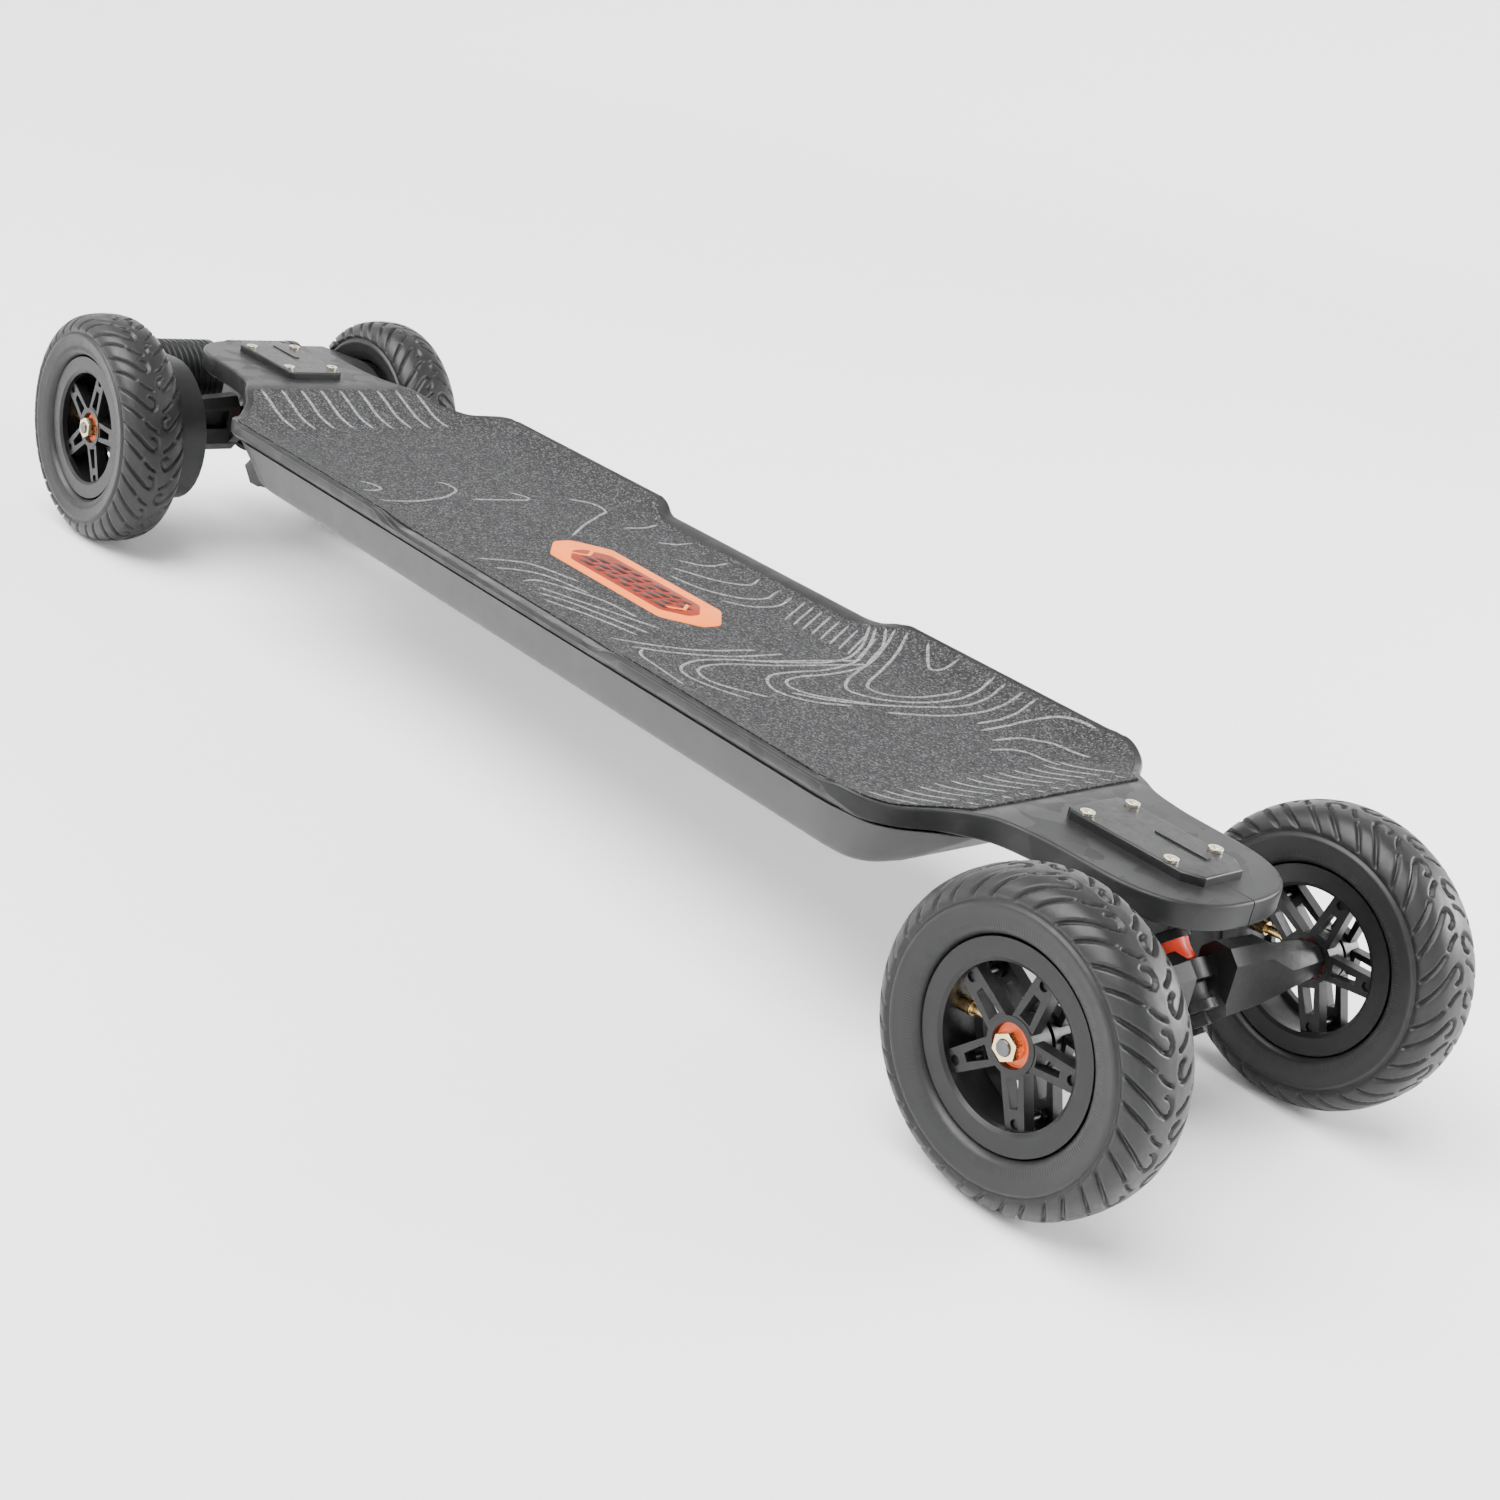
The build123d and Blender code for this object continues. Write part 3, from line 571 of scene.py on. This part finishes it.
MAT_EDGE = half_outline(mat_outline_end(FRONT_CORNER), mat_outline_end(REAR_CORNER),
                        [(-115, 112.5), (-92, 99), (99, 99), (139, 112.5)], 3.0)
MAT_TOP = 1.0


def mat_height(x, y):
    return height(x, y, "top") + MAT_TOP


def mat_half_width(x):
    return np.interp(x, MAT_EDGE[:, 0], MAT_EDGE[:, 1])


def build_mat():
    verts, faces = shell_between(MAT_EDGE, mat_height, lambda x, y: height(x, y, "top") + 0.02, 0.45, COLUMNS)
    made = new_object("grip_sheet", verts, faces)
    weld(made.data)
    mark_sharp(made.data, 50)
    return finish_piece(made, "grip_mat")


# ---------------------------------------------------------------- raised contour lines on the grip
LOOPS = [
    [(155, 61), (150, 33), (143, -4), (135, -31), (134, -50), (141, -61), (155, -63), (169, -54), (182, -43)],
    [(118, 111), (141, 86), (157, 56), (162, 24), (161, 1), (164, -13), (173, -18), (185, -13),
     (196, 1), (208, 19)],
    [(123, 132), (146, 97), (164, 65), (178, 40), (187, 32), (198, 38), (205, 56), (208, 88)],
    [(129, 141), (146, 120), (164, 102), (178, 92), (183, 102), (179, 120), (173, 139)],
    [(120, 123), (139, 91), (155, 61), (169, 33), (180, 19), (189, 17), (203, 29), (212, 52),
     (215, 88), (208, 125), (202, 141)],
    [(117, 104), (136, 79), (151, 52), (156, 24), (154, 1), (155, -17), (164, -28), (178, -31),
     (194, -20), (205, 1)],
    [(149, 61), (143, 33), (136, -4), (128, -31), (126, -52), (134, -68), (146, -73), (164, -68), (182, -57)],
    [(113, 102), (131, 79), (143, 56), (146, 33), (140, 6), (134, -13)],
    [(210, 141), (221, 111), (224, 79), (219, 52), (208, 19), (194, -8), (180, -24)],
    [(228, 141), (235, 111), (234, 70), (229, 42), (218, 15)],
    [(246, 61), (247, 88), (246, 110), (250, 122), (260, 130)],
    [(254, 56), (256, 88), (263, 102), (274, 109), (293, 111)],
    [(267, 52), (270, 70), (277, 79), (288, 85), (310, 86)],
    [(277, 38), (281, 54), (290, 61), (310, 62)],
    [(-87, 93), (-86, 80), (-89, 65)],
    [(-50, 93), (-52, 82), (-59, 70)],
    [(-11, 93), (-13, 74), (-27, 61)],
    [(19, 93), (24, 79), (12, 63), (-15, 47)],
    [(40, 91), (47, 72), (40, 54), (21, 40), (-2, 35)],
    [(52, 92), (60, 72), (56, 52), (44, 40)],
    [(-2, -38), (-34, -50), (-43, -63), (-48, -82)],
    [(17, -45), (-15, -54), (-27, -68), (-31, -82)],
    [(58, -40), (26, -45), (-6, -63), (-8, -77)],
    [(77, -38), (31, -59), (3, -73)],
    [(83, -50), (31, -68), (12, -80)],
    [(84, -60), (52, -70), (24, -84)],
    [(129, 15), (125, -22), (113, -54), (100, -77)],
    [(120, 2), (113, -34), (100, -60), (86, -82)],
    [(-192, -17), (-188, -12), (-176, -12), (-167, -22), (-160, -36), (-156, -59), (-156, -86)],
    [(-197, -75), (-188, -68), (-179, -70), (-175, -86)],
    [(-167, 26), (-156, 33), (-151, 29), (-152, 15), (-156, -13)],
    [(-149, 63), (-137, 74), (-121, 74), (-113, 61), (-98, 38), (-80, 15)],
    [(104, -72), (112, -80), (130, -84), (160, -88)],
]


def family(shape, first, last, count):
    """Parallel strokes of one shape, set off evenly from the first place to the last."""
    return [[(x + dx, y + dy) for dx, dy in shape] for x, y in np.linspace(first, last, count)]


def grip_strokes():
    strokes = [(line, 2.4) for line in LOOPS]
    strokes += [(line, 2.0) for line in family([(0, 0), (9.5, -18), (19, -34)], (62, 94), (136, 94), 10)]
    hooked = [(0, -5), (4, 0), (15, 2), (32, 1), (50, 0), (66, 3)]
    strokes += [(line, 3.0) for line in family(hooked, (-372, 66), (-372, -62), 9)]
    strokes += [(line, 2.2) for line in family([(0, 0), (19, -0.5), (38, 1)], (304, 66), (304, -84), 13)]
    strokes += [(line, 2.6) for line in family([(0, 0), (3.5, -0.5), (7, 1)], (347, 60), (347, -58), 10)]
    return strokes


def stroke_mesh(line, width):
    """Low rounded bead along a curve, lying on the sheet and tapering at both ends."""
    pts = curve_points(line, 1.6)
    inside = []
    for x, y in pts:
        on_badge = abs(x - BADGE_X) < 79 and abs(y) < 27.5
        inside.append(abs(x) < 356.5 and abs(y) < mat_half_width(x) - 1.6 and not on_badge)
    runs, run = [], []
    for p, ok in zip(pts, inside):
        if ok:
            run.append(p)
        elif run:
            runs.append(run)
            run = []
    if run:
        runs.append(run)
    parts = []
    for run in runs:
        if len(run) < 4:
            continue
        path = np.array(run)
        side = outward(path)
        verts, faces = [], []
        for i, (p, n) in enumerate(zip(path, side)):
            taper = min(1.0, (i + 0.35) / 2.5, (len(path) - 1 - i + 0.35) / 2.5)
            for offset, lift in ((-1, 0.0), (-0.55, 0.2), (0, 0.26), (0.55, 0.2), (1, 0.0)):
                q = p + n * offset * width / 2 * taper
                verts.append((q[0], q[1], mat_height(q[0], q[1]) + lift * taper + (0.02 if lift else -0.15)))
        for i in range(len(path) - 1):
            for j in range(4):
                a = i * 5 + j
                faces.append((a, a + 5, a + 6, a + 1))
            faces.append((i * 5, i * 5 + 4, i * 5 + 9, i * 5 + 5))
        faces.append((0, 1, 2, 3, 4))
        last = (len(path) - 1) * 5
        faces.append((last + 4, last + 3, last + 2, last + 1, last))
        parts.append((verts, faces))
    return parts


def build_lines():
    parts = []
    for line, width in grip_strokes():
        parts += stroke_mesh(line, width)
    made = new_object("grip_contour_lines", *stitched(parts))
    made.data.materials.append(LINE_PAINT)
    fix_normals(made.data)
    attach(made, "chassis")
    return made


# ---------------------------------------------------------------- badge
def rounded_outline(points, radius, steps=6):
    """Closed plan outline with each corner turned into an arc."""
    out = []
    count = len(points)
    for i in range(count):
        before, here, after = (np.array(points[k % count], float) for k in (i - 1, i, i + 1))
        u, v = before - here, after - here
        u, v = u / np.linalg.norm(u), v / np.linalg.norm(v)
        angle = np.arccos(np.clip(u @ v, -1, 1))
        shorter = min(np.linalg.norm(before - here), np.linalg.norm(after - here))
        reach = min(radius / np.tan(angle / 2), 0.48 * shorter)
        for k in range(steps + 1):
            t = k / steps
            a, b = here + u * reach, here + v * reach
            out.append(tuple((1 - t) ** 2 * a + 2 * t * (1 - t) * here + t * t * b))
    return out


def slab(outline, z0, z1, edge=0.2):
    """Plate from a plan outline, its upper edge eased."""
    pts = np.array(outline)
    centre = pts.mean(axis=0)
    span = np.abs(pts - centre).max(axis=0)
    verts = []
    for inset, z in ((0.0, z0), (0.0, z1 - edge), (edge * 0.3, z1 - edge * 0.3), (edge, z1)):
        scale = 1 - inset / span
        verts += [(*(centre + (p - centre) * scale), z) for p in pts]
    n = len(pts)
    faces = [tuple(range(n))[::-1], tuple(range(3 * n, 4 * n))]
    for ring in range(3):
        for i in range(n):
            j = (i + 1) % n
            faces.append((ring * n + i, ring * n + j, (ring + 1) * n + j, (ring + 1) * n + i))
    return verts, faces


def hexagon_plate(length, width, radius, z0, z1):
    """Long six-sided plate centred on the badge, its two tips cut blunt."""
    nose = width * 0.42
    half = [(-length / 2, width * 0.14), (-length / 2 + nose, width / 2),
            (length / 2 - nose, width / 2), (length / 2, width * 0.14)]
    loop = half + [(px, -py) for px, py in reversed(half)]
    return slab([(BADGE_X + px, py) for px, py in rounded_outline(loop, radius)], z0, z1)


def chevron(x, y, size, thick, z0, z1):
    tip = size * 0.8
    loop = [(x, y + size), (x + thick, y + size), (x + thick + tip, y),
            (x + thick, y - size), (x, y - size), (x + tip, y)]
    return slab(loop, z0, z1, 0.08)


def block(x0, x1, y0, y1, z0, z1, lean=0.0):
    loop = [(x0, y0), (x1, y0), (x1 + lean, y1), (x0 + lean, y1)]
    return slab(loop, z0, z1, 0.08)


def badge_part(name, mesh, paint):
    """A piece laid on the badge, fixed to the chassis."""
    made = new_object(name, *mesh)
    made.data.materials.append(paint)
    fix_normals(made.data)
    mark_sharp(made.data, 40)
    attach(made, "chassis")
    return made


def build_badge():
    z = PLATFORM_TOP + MAT_TOP
    plate = new_object("badge_body", *hexagon_plate(153, 50, 9, z - 0.3, z + 0.45))
    fix_normals(plate.data)
    mark_sharp(plate.data, 40)
    finish_piece(plate, "badge_plate")
    field = hexagon_plate(118, 33, 7, z + 0.3, z + 0.55)
    badge_part("badge_field", field, BADGE_RED)
    bars = []
    rng = np.random.default_rng(7)
    for row, y in enumerate((10.0, 3.4, -3.2, -9.8)):
        x = -43.0 + (row % 2) * 5
        while x < 50:
            length = rng.uniform(5, 15)
            if abs(y) < 6 or abs(x - 5 + length / 2) < 40:
                bars.append(block(x, min(x + length, 54), y - 2.1, y + 2.1, z + 0.45, z + 0.68, lean=2.0))
            x += length + rng.uniform(2.5, 5.0)
    badge_part("badge_bars", stitched(bars), BADGE_DARK)
    chevrons = [chevron(x, 0, 8.5, 3.0, z + 0.45, z + 0.72) for x in (-51, 46)]
    badge_part("badge_chevrons", stitched(chevrons), MATERIALS["badge"])


# ---------------------------------------------------------------- enclosure
TRAY_LOW = [(-283, 84), (-280, 95), (-270, 101.5), (-258, 103),
            (300, 103), (315, 100.5), (324, 91), (327, 76)]
TRAY_HIGH = [(-306, 88), (-304, 99), (-298, 107), (-284, 110.4),
             (302, 110.4), (328, 105), (340, 94), (360, 64)]
TRAY_Z = 101.0


def tray_loop(t, inset):
    """Closed loop of the tray at a height share t, drawn in by inset, with softened corners."""
    half = [(a[0] + t * (b[0] - a[0]), a[1] + t * (b[1] - a[1])) for a, b in zip(TRAY_LOW, TRAY_HIGH)]
    half = [(x - inset if x > 0 else x + inset, y - inset) for x, y in half]
    body = [half[0]] + [tuple(p) for p in curve_points(half[:4], each=7)[1:-1]] + [half[3]]
    front = [half[4]] + [tuple(p) for p in curve_points(half[4:], each=8)[1:]]
    (x0, y0), (x1, y1) = half[3], half[4]
    side = [(x0 + (x1 - x0) * i / 70, y0 + (y1 - y0) * i / 70) for i in range(1, 70)]
    line = body + side + front
    rear_end = [(half[0][0], y) for y in np.linspace(0, half[0][1], 12)[:-1]]
    front_end = [(half[-1][0], y) for y in np.linspace(half[-1][1], 0, 12)[1:]]
    return rear_end + line + front_end


def build_enclosure():
    """Open tray with a rounded floor; its upper lip follows the underside of the deck."""
    lip = 0.8
    rounding = [(9.0, 0.0), (4.5, 0.0), (2.6, 0.12), (1.2, 0.62), (0.35, 1.7), (0.0, 3.4)]
    loops = []
    for inset, dz in rounding:
        loops.append([(x, y, TRAY_Z + dz) for x, y in tray_loop(dz / 27, inset)])
    outer_top = tray_loop(1.0, 0.0)
    for share in (0.2, 0.4, 0.6, 0.8, 0.93):
        loop = []
        for (x0, y0), (x1, y1) in zip(tray_loop(3.4 / 27, 0.0), outer_top):
            top = height(x1, y1, "low") - lip
            z = TRAY_Z + 3.4 + (top - TRAY_Z - 3.4) * share
            k = (z - TRAY_Z - 3.4) / 23.6
            loop.append((x0 + (x1 - x0) * k, y0 + (y1 - y0) * k, z))
        loops.append(loop)
    for drop, inset in ((0.5, 0.0), (0.0, 0.5), (0.0, 2.0), (0.6, 2.5)):
        loop = []
        for (x0, y0), (x1, y1) in zip(tray_loop(3.4 / 27, inset), tray_loop(1.0, inset)):
            z = height(x1, y1, "low") - lip - drop
            k = (z - TRAY_Z - 3.4) / 23.6
            loop.append((x0 + (x1 - x0) * k, y0 + (y1 - y0) * k, z))
        loops.append(loop)
    loops.append([(x, y, TRAY_Z + 3.2) for x, y in tray_loop(3.2 / 27, 3.2)])
    loops.append([(x, y, TRAY_Z + 2.5) for x, y in tray_loop(2.5 / 27, 5.0)])
    n = len(loops[0])
    verts, faces = [], []
    for loop in loops:
        verts += [(x, max(y, 0), z) for x, y, z in loop]
        verts += [(x, -max(y, 0), z) for x, y, z in reversed(loop[1:-1])]
    count = 2 * n - 2
    for i in range(len(loops) - 1):
        for j in range(count):
            k = (j + 1) % count
            faces.append((i * count + j, i * count + k, (i + 1) * count + k, (i + 1) * count + j))
    for i in (0, len(loops) - 1):
        for j in range(1, n - 1):
            a, b = i * count + j, i * count + j + 1
            c, d = i * count + count - j - 1, i * count + count - j
            if j + 1 <= n - 1:
                faces.append((a, b, c, d) if b != c else (a, b, d))
        faces.append((i * count, i * count + 1, i * count + count - 1))
    made = new_object("enclosure_tray", verts, faces)
    fix_normals(made.data)
    pins = [(x, y) for x in (-262.0, -150.0, -40.0, 70.0, 180.0, 296.0) for y in (-88.0, 88.0)]
    holes = [cylinder_mesh((x, y, TRAY_Z - 1), (0, 0, 1), 4.3, 3.4) for x, y in pins]
    lean = atan2(7.4, 27.0)
    for x in (-225.0, -180.0):
        y = 103 + 11 / 27 * 7.4
        out = Vector((0, cos(lean), -sin(lean)))
        holes.append(cylinder_mesh(Vector((x, y, 112.0)) - out * 7, out, 6.8, 12))
    apply_boolean(made, cutter("tray_holes", *stitched(holes)))
    mark_sharp(made.data, 42)
    return finish_piece(made, "enclosure")


# ---------------------------------------------------------------- tyres
TREAD_OUT = [(51.4, 13.6), (52.2, 16.8), (53.2, 19.0), (55.0, 20.6), (58, 21.9), (61.5, 22.8), (65, 23.3),
             (67.3, 23.5), (71, 22.9), (75, 21.2), (78.4, 18), (80.8, 13.5), (82.1, 7), (TYRE_R, 0)]
PITCHES = 18


def groove_paths():
    """Grooves inside one pitch: points (length round the tyre, length from its middle) and half widths."""
    hook = [(-3, 30), (2, 25), (8, 19), (14, 13), (19, 8), (20.5, 4.6), (17.5, 2.2), (13, 2.8), (11, 6)]
    sipe = [(12, 29), (16.5, 23.5), (21.5, 18), (26, 13.5)]
    notch = [(0.5, 10.5), (4.2, 7), (6.5, 3)]
    return [(curve_points(hook, 0.8), 1.5), (curve_points(sipe, 0.8), 1.15), (curve_points(notch, 0.8), 1.0)]


def groove_depth(s, y):
    """Depth share 0..1 of the tread pattern at length s round the tyre and y across it."""
    pitch = 2 * pi * TYRE_R / PITCHES
    depth = np.zeros_like(s)
    for mirror, shift in ((1, 0.0), (-1, pitch / 2)):
        for path, half in groove_paths():
            for wrap in (-pitch, 0.0, pitch):
                ps = path[:, 0] + shift + wrap
                py = path[:, 1] * mirror
                near = (s > ps.min() - 3) & (s < ps.max() + 3) & (y > py.min() - 3) & (y < py.max() + 3)
                if not near.any():
                    continue
                d = np.hypot(s[near][:, None] - ps[None, :], y[near][:, None] - py[None, :]).min(axis=1)
                share = np.clip(1 - (d - half * 0.45) / 0.75, 0, 1)
                depth[near] = np.maximum(depth[near], share)
    return depth


def tyre_mesh():
    """The tyre's section turned about its axle, with tread, sidewall steps and fine ribs pressed in."""
    half = curve_points(TREAD_OUT, 0.85)
    ys = np.concatenate([half[:, 1], -half[::-1][1:, 1]])
    rs = np.concatenate([half[:, 0], half[::-1][1:, 0]])
    rs = np.minimum(rs, TYRE_R - 0.01)
    turns = 720
    theta = np.linspace(0, 2 * pi, turns, endpoint=False)
    along = np.gradient(np.stack([rs, ys], 1), axis=0)
    along /= np.hypot(along[:, 0], along[:, 1])[:, None]
    normal = np.stack([-along[:, 1], along[:, 0]], 1)
    if normal[len(rs) // 2][0] < 0:
        normal = -normal
    across = np.concatenate([[0], np.cumsum(np.hypot(np.diff(rs), np.diff(ys)))])
    T, V = np.meshgrid(theta, across[-1] / 2 - across, indexing="ij")
    R = np.broadcast_to(rs, T.shape)
    pitch = 2 * pi / PITCHES
    s = ((T % pitch) * TYRE_R).ravel()
    depth = groove_depth(s, V.ravel()).reshape(T.shape) * 2.2
    depth *= np.clip((R - 69.8) / 2.0, 0, 1)
    ribs = 0.42 * (0.5 + 0.5 * np.cos(T * 240)) * np.exp(-((R - 57.3) / 1.9) ** 2)
    steps = 2.1 * np.exp(-((R - 68.8) / 1.25) ** 2)
    steps = steps + 0.55 * np.exp(-((R - 61.5) / 4.0) ** 2)
    cut = depth + ribs + steps
    r = R - cut * normal[:, 0][None, :]
    y = ys[None, :] - cut * normal[:, 1][None, :]
    inner = [(49.5, -14.0), (46.2, -9.0), (45.4, -7.2), (45.4, 7.2), (46.2, 9.0), (49.5, 14.0)]
    n = len(ys) + len(inner)
    verts, faces = [], []
    for i, t in enumerate(theta):
        c, sn = cos(t), sin(t)
        verts += [(rr * c, yy, rr * sn) for rr, yy in zip(r[i], y[i])]
        verts += [(rr * c, yy, rr * sn) for rr, yy in inner]
    for i in range(turns):
        k = (i + 1) % turns
        for j in range(n):
            m = (j + 1) % n
            faces.append((i * n + j, i * n + m, k * n + m, k * n + j))
    mesh = bpy.data.meshes.new("tyre")
    mesh.from_pydata([tuple(c * MM for c in v) for v in verts], [], faces)
    fix_normals(mesh)
    mesh.shade_smooth()
    mesh.materials.append(MATERIALS["tyre_rubber"])
    return mesh


ENDS = (("front", 1), ("rear", -1))
SIDES = (("left", 1), ("right", -1))


def build_tyres():
    mesh = tyre_mesh()
    for (end, sx), (side, sy) in product(ENDS, SIDES):
        node = "tyre_" + end + "_" + side
        made = bpy.data.objects.new("vis_" + node, mesh)
        bpy.context.scene.collection.objects.link(made)
        made.location = (sx * AXLE_X * MM, sy * WHEEL_Y * MM, TYRE_R * MM)
        if sy < 0:
            made.rotation_euler = (0, 0, pi)
        finish_piece(made, node)


# ---------------------------------------------------------------- small hardware and plates
def build_copies():
    """Small parts keep their CAD shape; the numbers are the width of their rounded edges."""
    fine = {"enclosure_screws": 0.15, "truck_bolts": 0.3, "kingpin_nuts": 0.4, "kingpins": 0.3,
            "front_axle_nuts": 0.4, "rear_axle_nuts": 0.4, "neck_plates": 0.35, "power_switch": 0.3,
            "charge_port": 0.3, "power_button": 0.4, "port_cap": 0.5, "cup_washers": 0.25,
            "front_axles": 0.5, "rear_axles": 0.5}
    coarse = {"front_baseplate": 0.9, "rear_baseplate": 0.9, "front_hanger": 1.1, "rear_hanger": 1.1,
              "motor_mounts": 0.7, "pivot_cups": 0.5}
    for side in ("left", "right"):
        coarse["motor_case_" + side] = 0.5
        coarse["drive_cover_" + side] = 1.0
        coarse["wheel_pulley_" + side] = 0.25
        for end in ("front", "rear"):
            corner = "_" + end + "_" + side
            coarse["hub_halves" + corner] = 0.6
            fine["bearings" + corner] = 0.25
            fine["valve" + corner] = 0.25
            fine["hub_bolts" + corner] = 0.3
    for table, segments in ((fine, 2), (coarse, 3)):
        for node, width in table.items():
            finish_piece(edged_copy(node, width, segments=segments), node)


BARRELS = (("_deck_side", -1, 20, "bushing_urethane"), ("_road_side", 1, 18, "cup_urethane"))


def build_bushings():
    """Two barrels on each kingpin, cut apart at the hanger's ring, red by the deck and black by the road."""
    for end, sx in ENDS:
        node = end + "_bushings"
        kingpin = Vector((sx * sin(KINGPIN_TILT), 0, -cos(KINGPIN_TILT)))
        ring = Vector((sx * RING_X, 0, RING_Z)) * MM
        for name, toward, far, paint in BARRELS:
            made = edged_copy(node, 0.6, segments=3)
            bake(made)
            made.name += name
            axis = kingpin * toward
            work = bmesh.new()
            work.from_mesh(made.data)
            other = [v for v in work.verts if (v.co - ring).dot(axis) < 0]
            bmesh.ops.delete(work, geom=other, context="VERTS")
            work.to_mesh(made.data)
            work.free()
            made.data.materials.append(MATERIALS[paint])
            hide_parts(node)
            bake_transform(made)


def dress_rest():
    """CAD nodes still shown keep their shape and take their slot's finish."""
    for node, piece in NODES.items():
        if piece.hide_render:
            continue
        piece.data.materials.clear()
        piece.data.materials.append(MATERIALS[SLOT_OF[node]])


# ---------------------------------------------------------------- camera, floor, light
CAMERA_PLACE = (0.98558, -0.86970, 0.54123)
CAMERA_TURN = (2.34564, -0.36888, 0.21269)
CAMERA_LENS = 52.832
FLOOR_FLAT, FLOOR_BEND, WALL_TOP = 4.5, 2.5, 4.5
WORLD_LIGHT = 0.55


def set_camera():
    """Fitted to the wheels and the deck's corners, without lens shift."""
    yaw, pitch, roll = CAMERA_TURN
    d = Vector((cos(pitch) * cos(yaw), cos(pitch) * sin(yaw), sin(pitch)))
    r = d.cross(Vector((0, 0, 1))).normalized()
    u = r.cross(d)
    right = cos(roll) * r + sin(roll) * u
    up = -sin(roll) * r + cos(roll) * u
    camera = bpy.data.cameras.new("camera")
    camera.sensor_width = 36.0
    camera.lens = CAMERA_LENS
    camera.clip_start = 0.02
    camera.clip_end = 50
    camera.dof.use_dof = False
    made = bpy.data.objects.new("camera", camera)
    bpy.context.scene.collection.objects.link(made)
    turn = Matrix((right, up, -d)).transposed().to_4x4()
    made.matrix_world = Matrix.Translation(Vector(CAMERA_PLACE)) @ turn
    bpy.context.scene.camera = made


def area_light(name, place, aim, size, power, colour=(1, 1, 1)):
    lamp = bpy.data.lights.new(name, "AREA")
    lamp.shape = "RECTANGLE"
    lamp.size, lamp.size_y = size
    lamp.energy = power
    lamp.color = colour
    made = bpy.data.objects.new(name, lamp)
    bpy.context.scene.collection.objects.link(made)
    made.location = place
    made.rotation_mode = "QUATERNION"
    made.rotation_quaternion = (Vector(aim) - Vector(place)).to_track_quat("-Z", "Y")
    return made


def backdrop():
    """Round sweep: a flat floor that curves up into a wall all round."""
    profile = [(0.0, 0.0), (1.5, 0.0), (3.0, 0.0), (FLOOR_FLAT, 0.0)]
    for a in range(9, 91, 9):
        profile.append((FLOOR_FLAT + FLOOR_BEND * sin(radians(a)), FLOOR_BEND - FLOOR_BEND * cos(radians(a))))
    profile.append((FLOOR_FLAT + FLOOR_BEND, WALL_TOP))
    sides = 96
    verts, faces = [], []
    for r, z in profile:
        for i in range(sides):
            a = 2 * pi * i / sides
            verts.append((r * 1000 * cos(a), r * 1000 * sin(a), z * 1000))
    for k in range(len(profile) - 1):
        for i in range(sides):
            j = (i + 1) % sides
            faces.append((k * sides + i, k * sides + j, (k + 1) * sides + j, (k + 1) * sides + i))
    made = new_object("floor", verts, faces)
    work = bmesh.new()
    work.from_mesh(made.data)
    bmesh.ops.remove_doubles(work, verts=work.verts, dist=1e-4)
    work.to_mesh(made.data)
    work.free()
    made.data.shade_smooth()
    paint = material("floor_paint", (0.94, 0.94, 0.94), 0.95, patch=1.0, depth=0.01,
                     grain=80.0, grain_height=0.01)
    made.data.materials.append(paint)
    return made


def build_studio():
    backdrop()
    world = bpy.data.worlds.new("world")
    world.use_nodes = True
    world.node_tree.nodes["Background"].inputs["Color"].default_value = (1, 1, 1, 1)
    world.node_tree.nodes["Background"].inputs["Strength"].default_value = WORLD_LIGHT
    bpy.context.scene.world = world
    sun = bpy.data.lights.new("sky_panel", "SUN")
    sun.energy = 7.0
    sun.angle = radians(55)
    overhead = bpy.data.objects.new("sky_panel", sun)
    bpy.context.scene.collection.objects.link(overhead)
    overhead.rotation_mode = "QUATERNION"
    overhead.rotation_quaternion = Vector((0.12, 0.42, -1.0)).to_track_quat("-Z", "Y")
    lights = [overhead,
              area_light("key", (-0.7, -1.6, 1.5), (0, 0, 0.08), (2.4, 0.9), 38),
              area_light("far_side", (1.45, 1.9, 0.95), (0.45, -0.05, 0.1), (1.1, 0.7), 60)]


build_deck()
build_mat()
build_lines()
build_badge()
build_enclosure()
build_tyres()
build_copies()
build_bushings()
dress_rest()
build_studio()
set_camera()
bpy.context.view_layer.update()
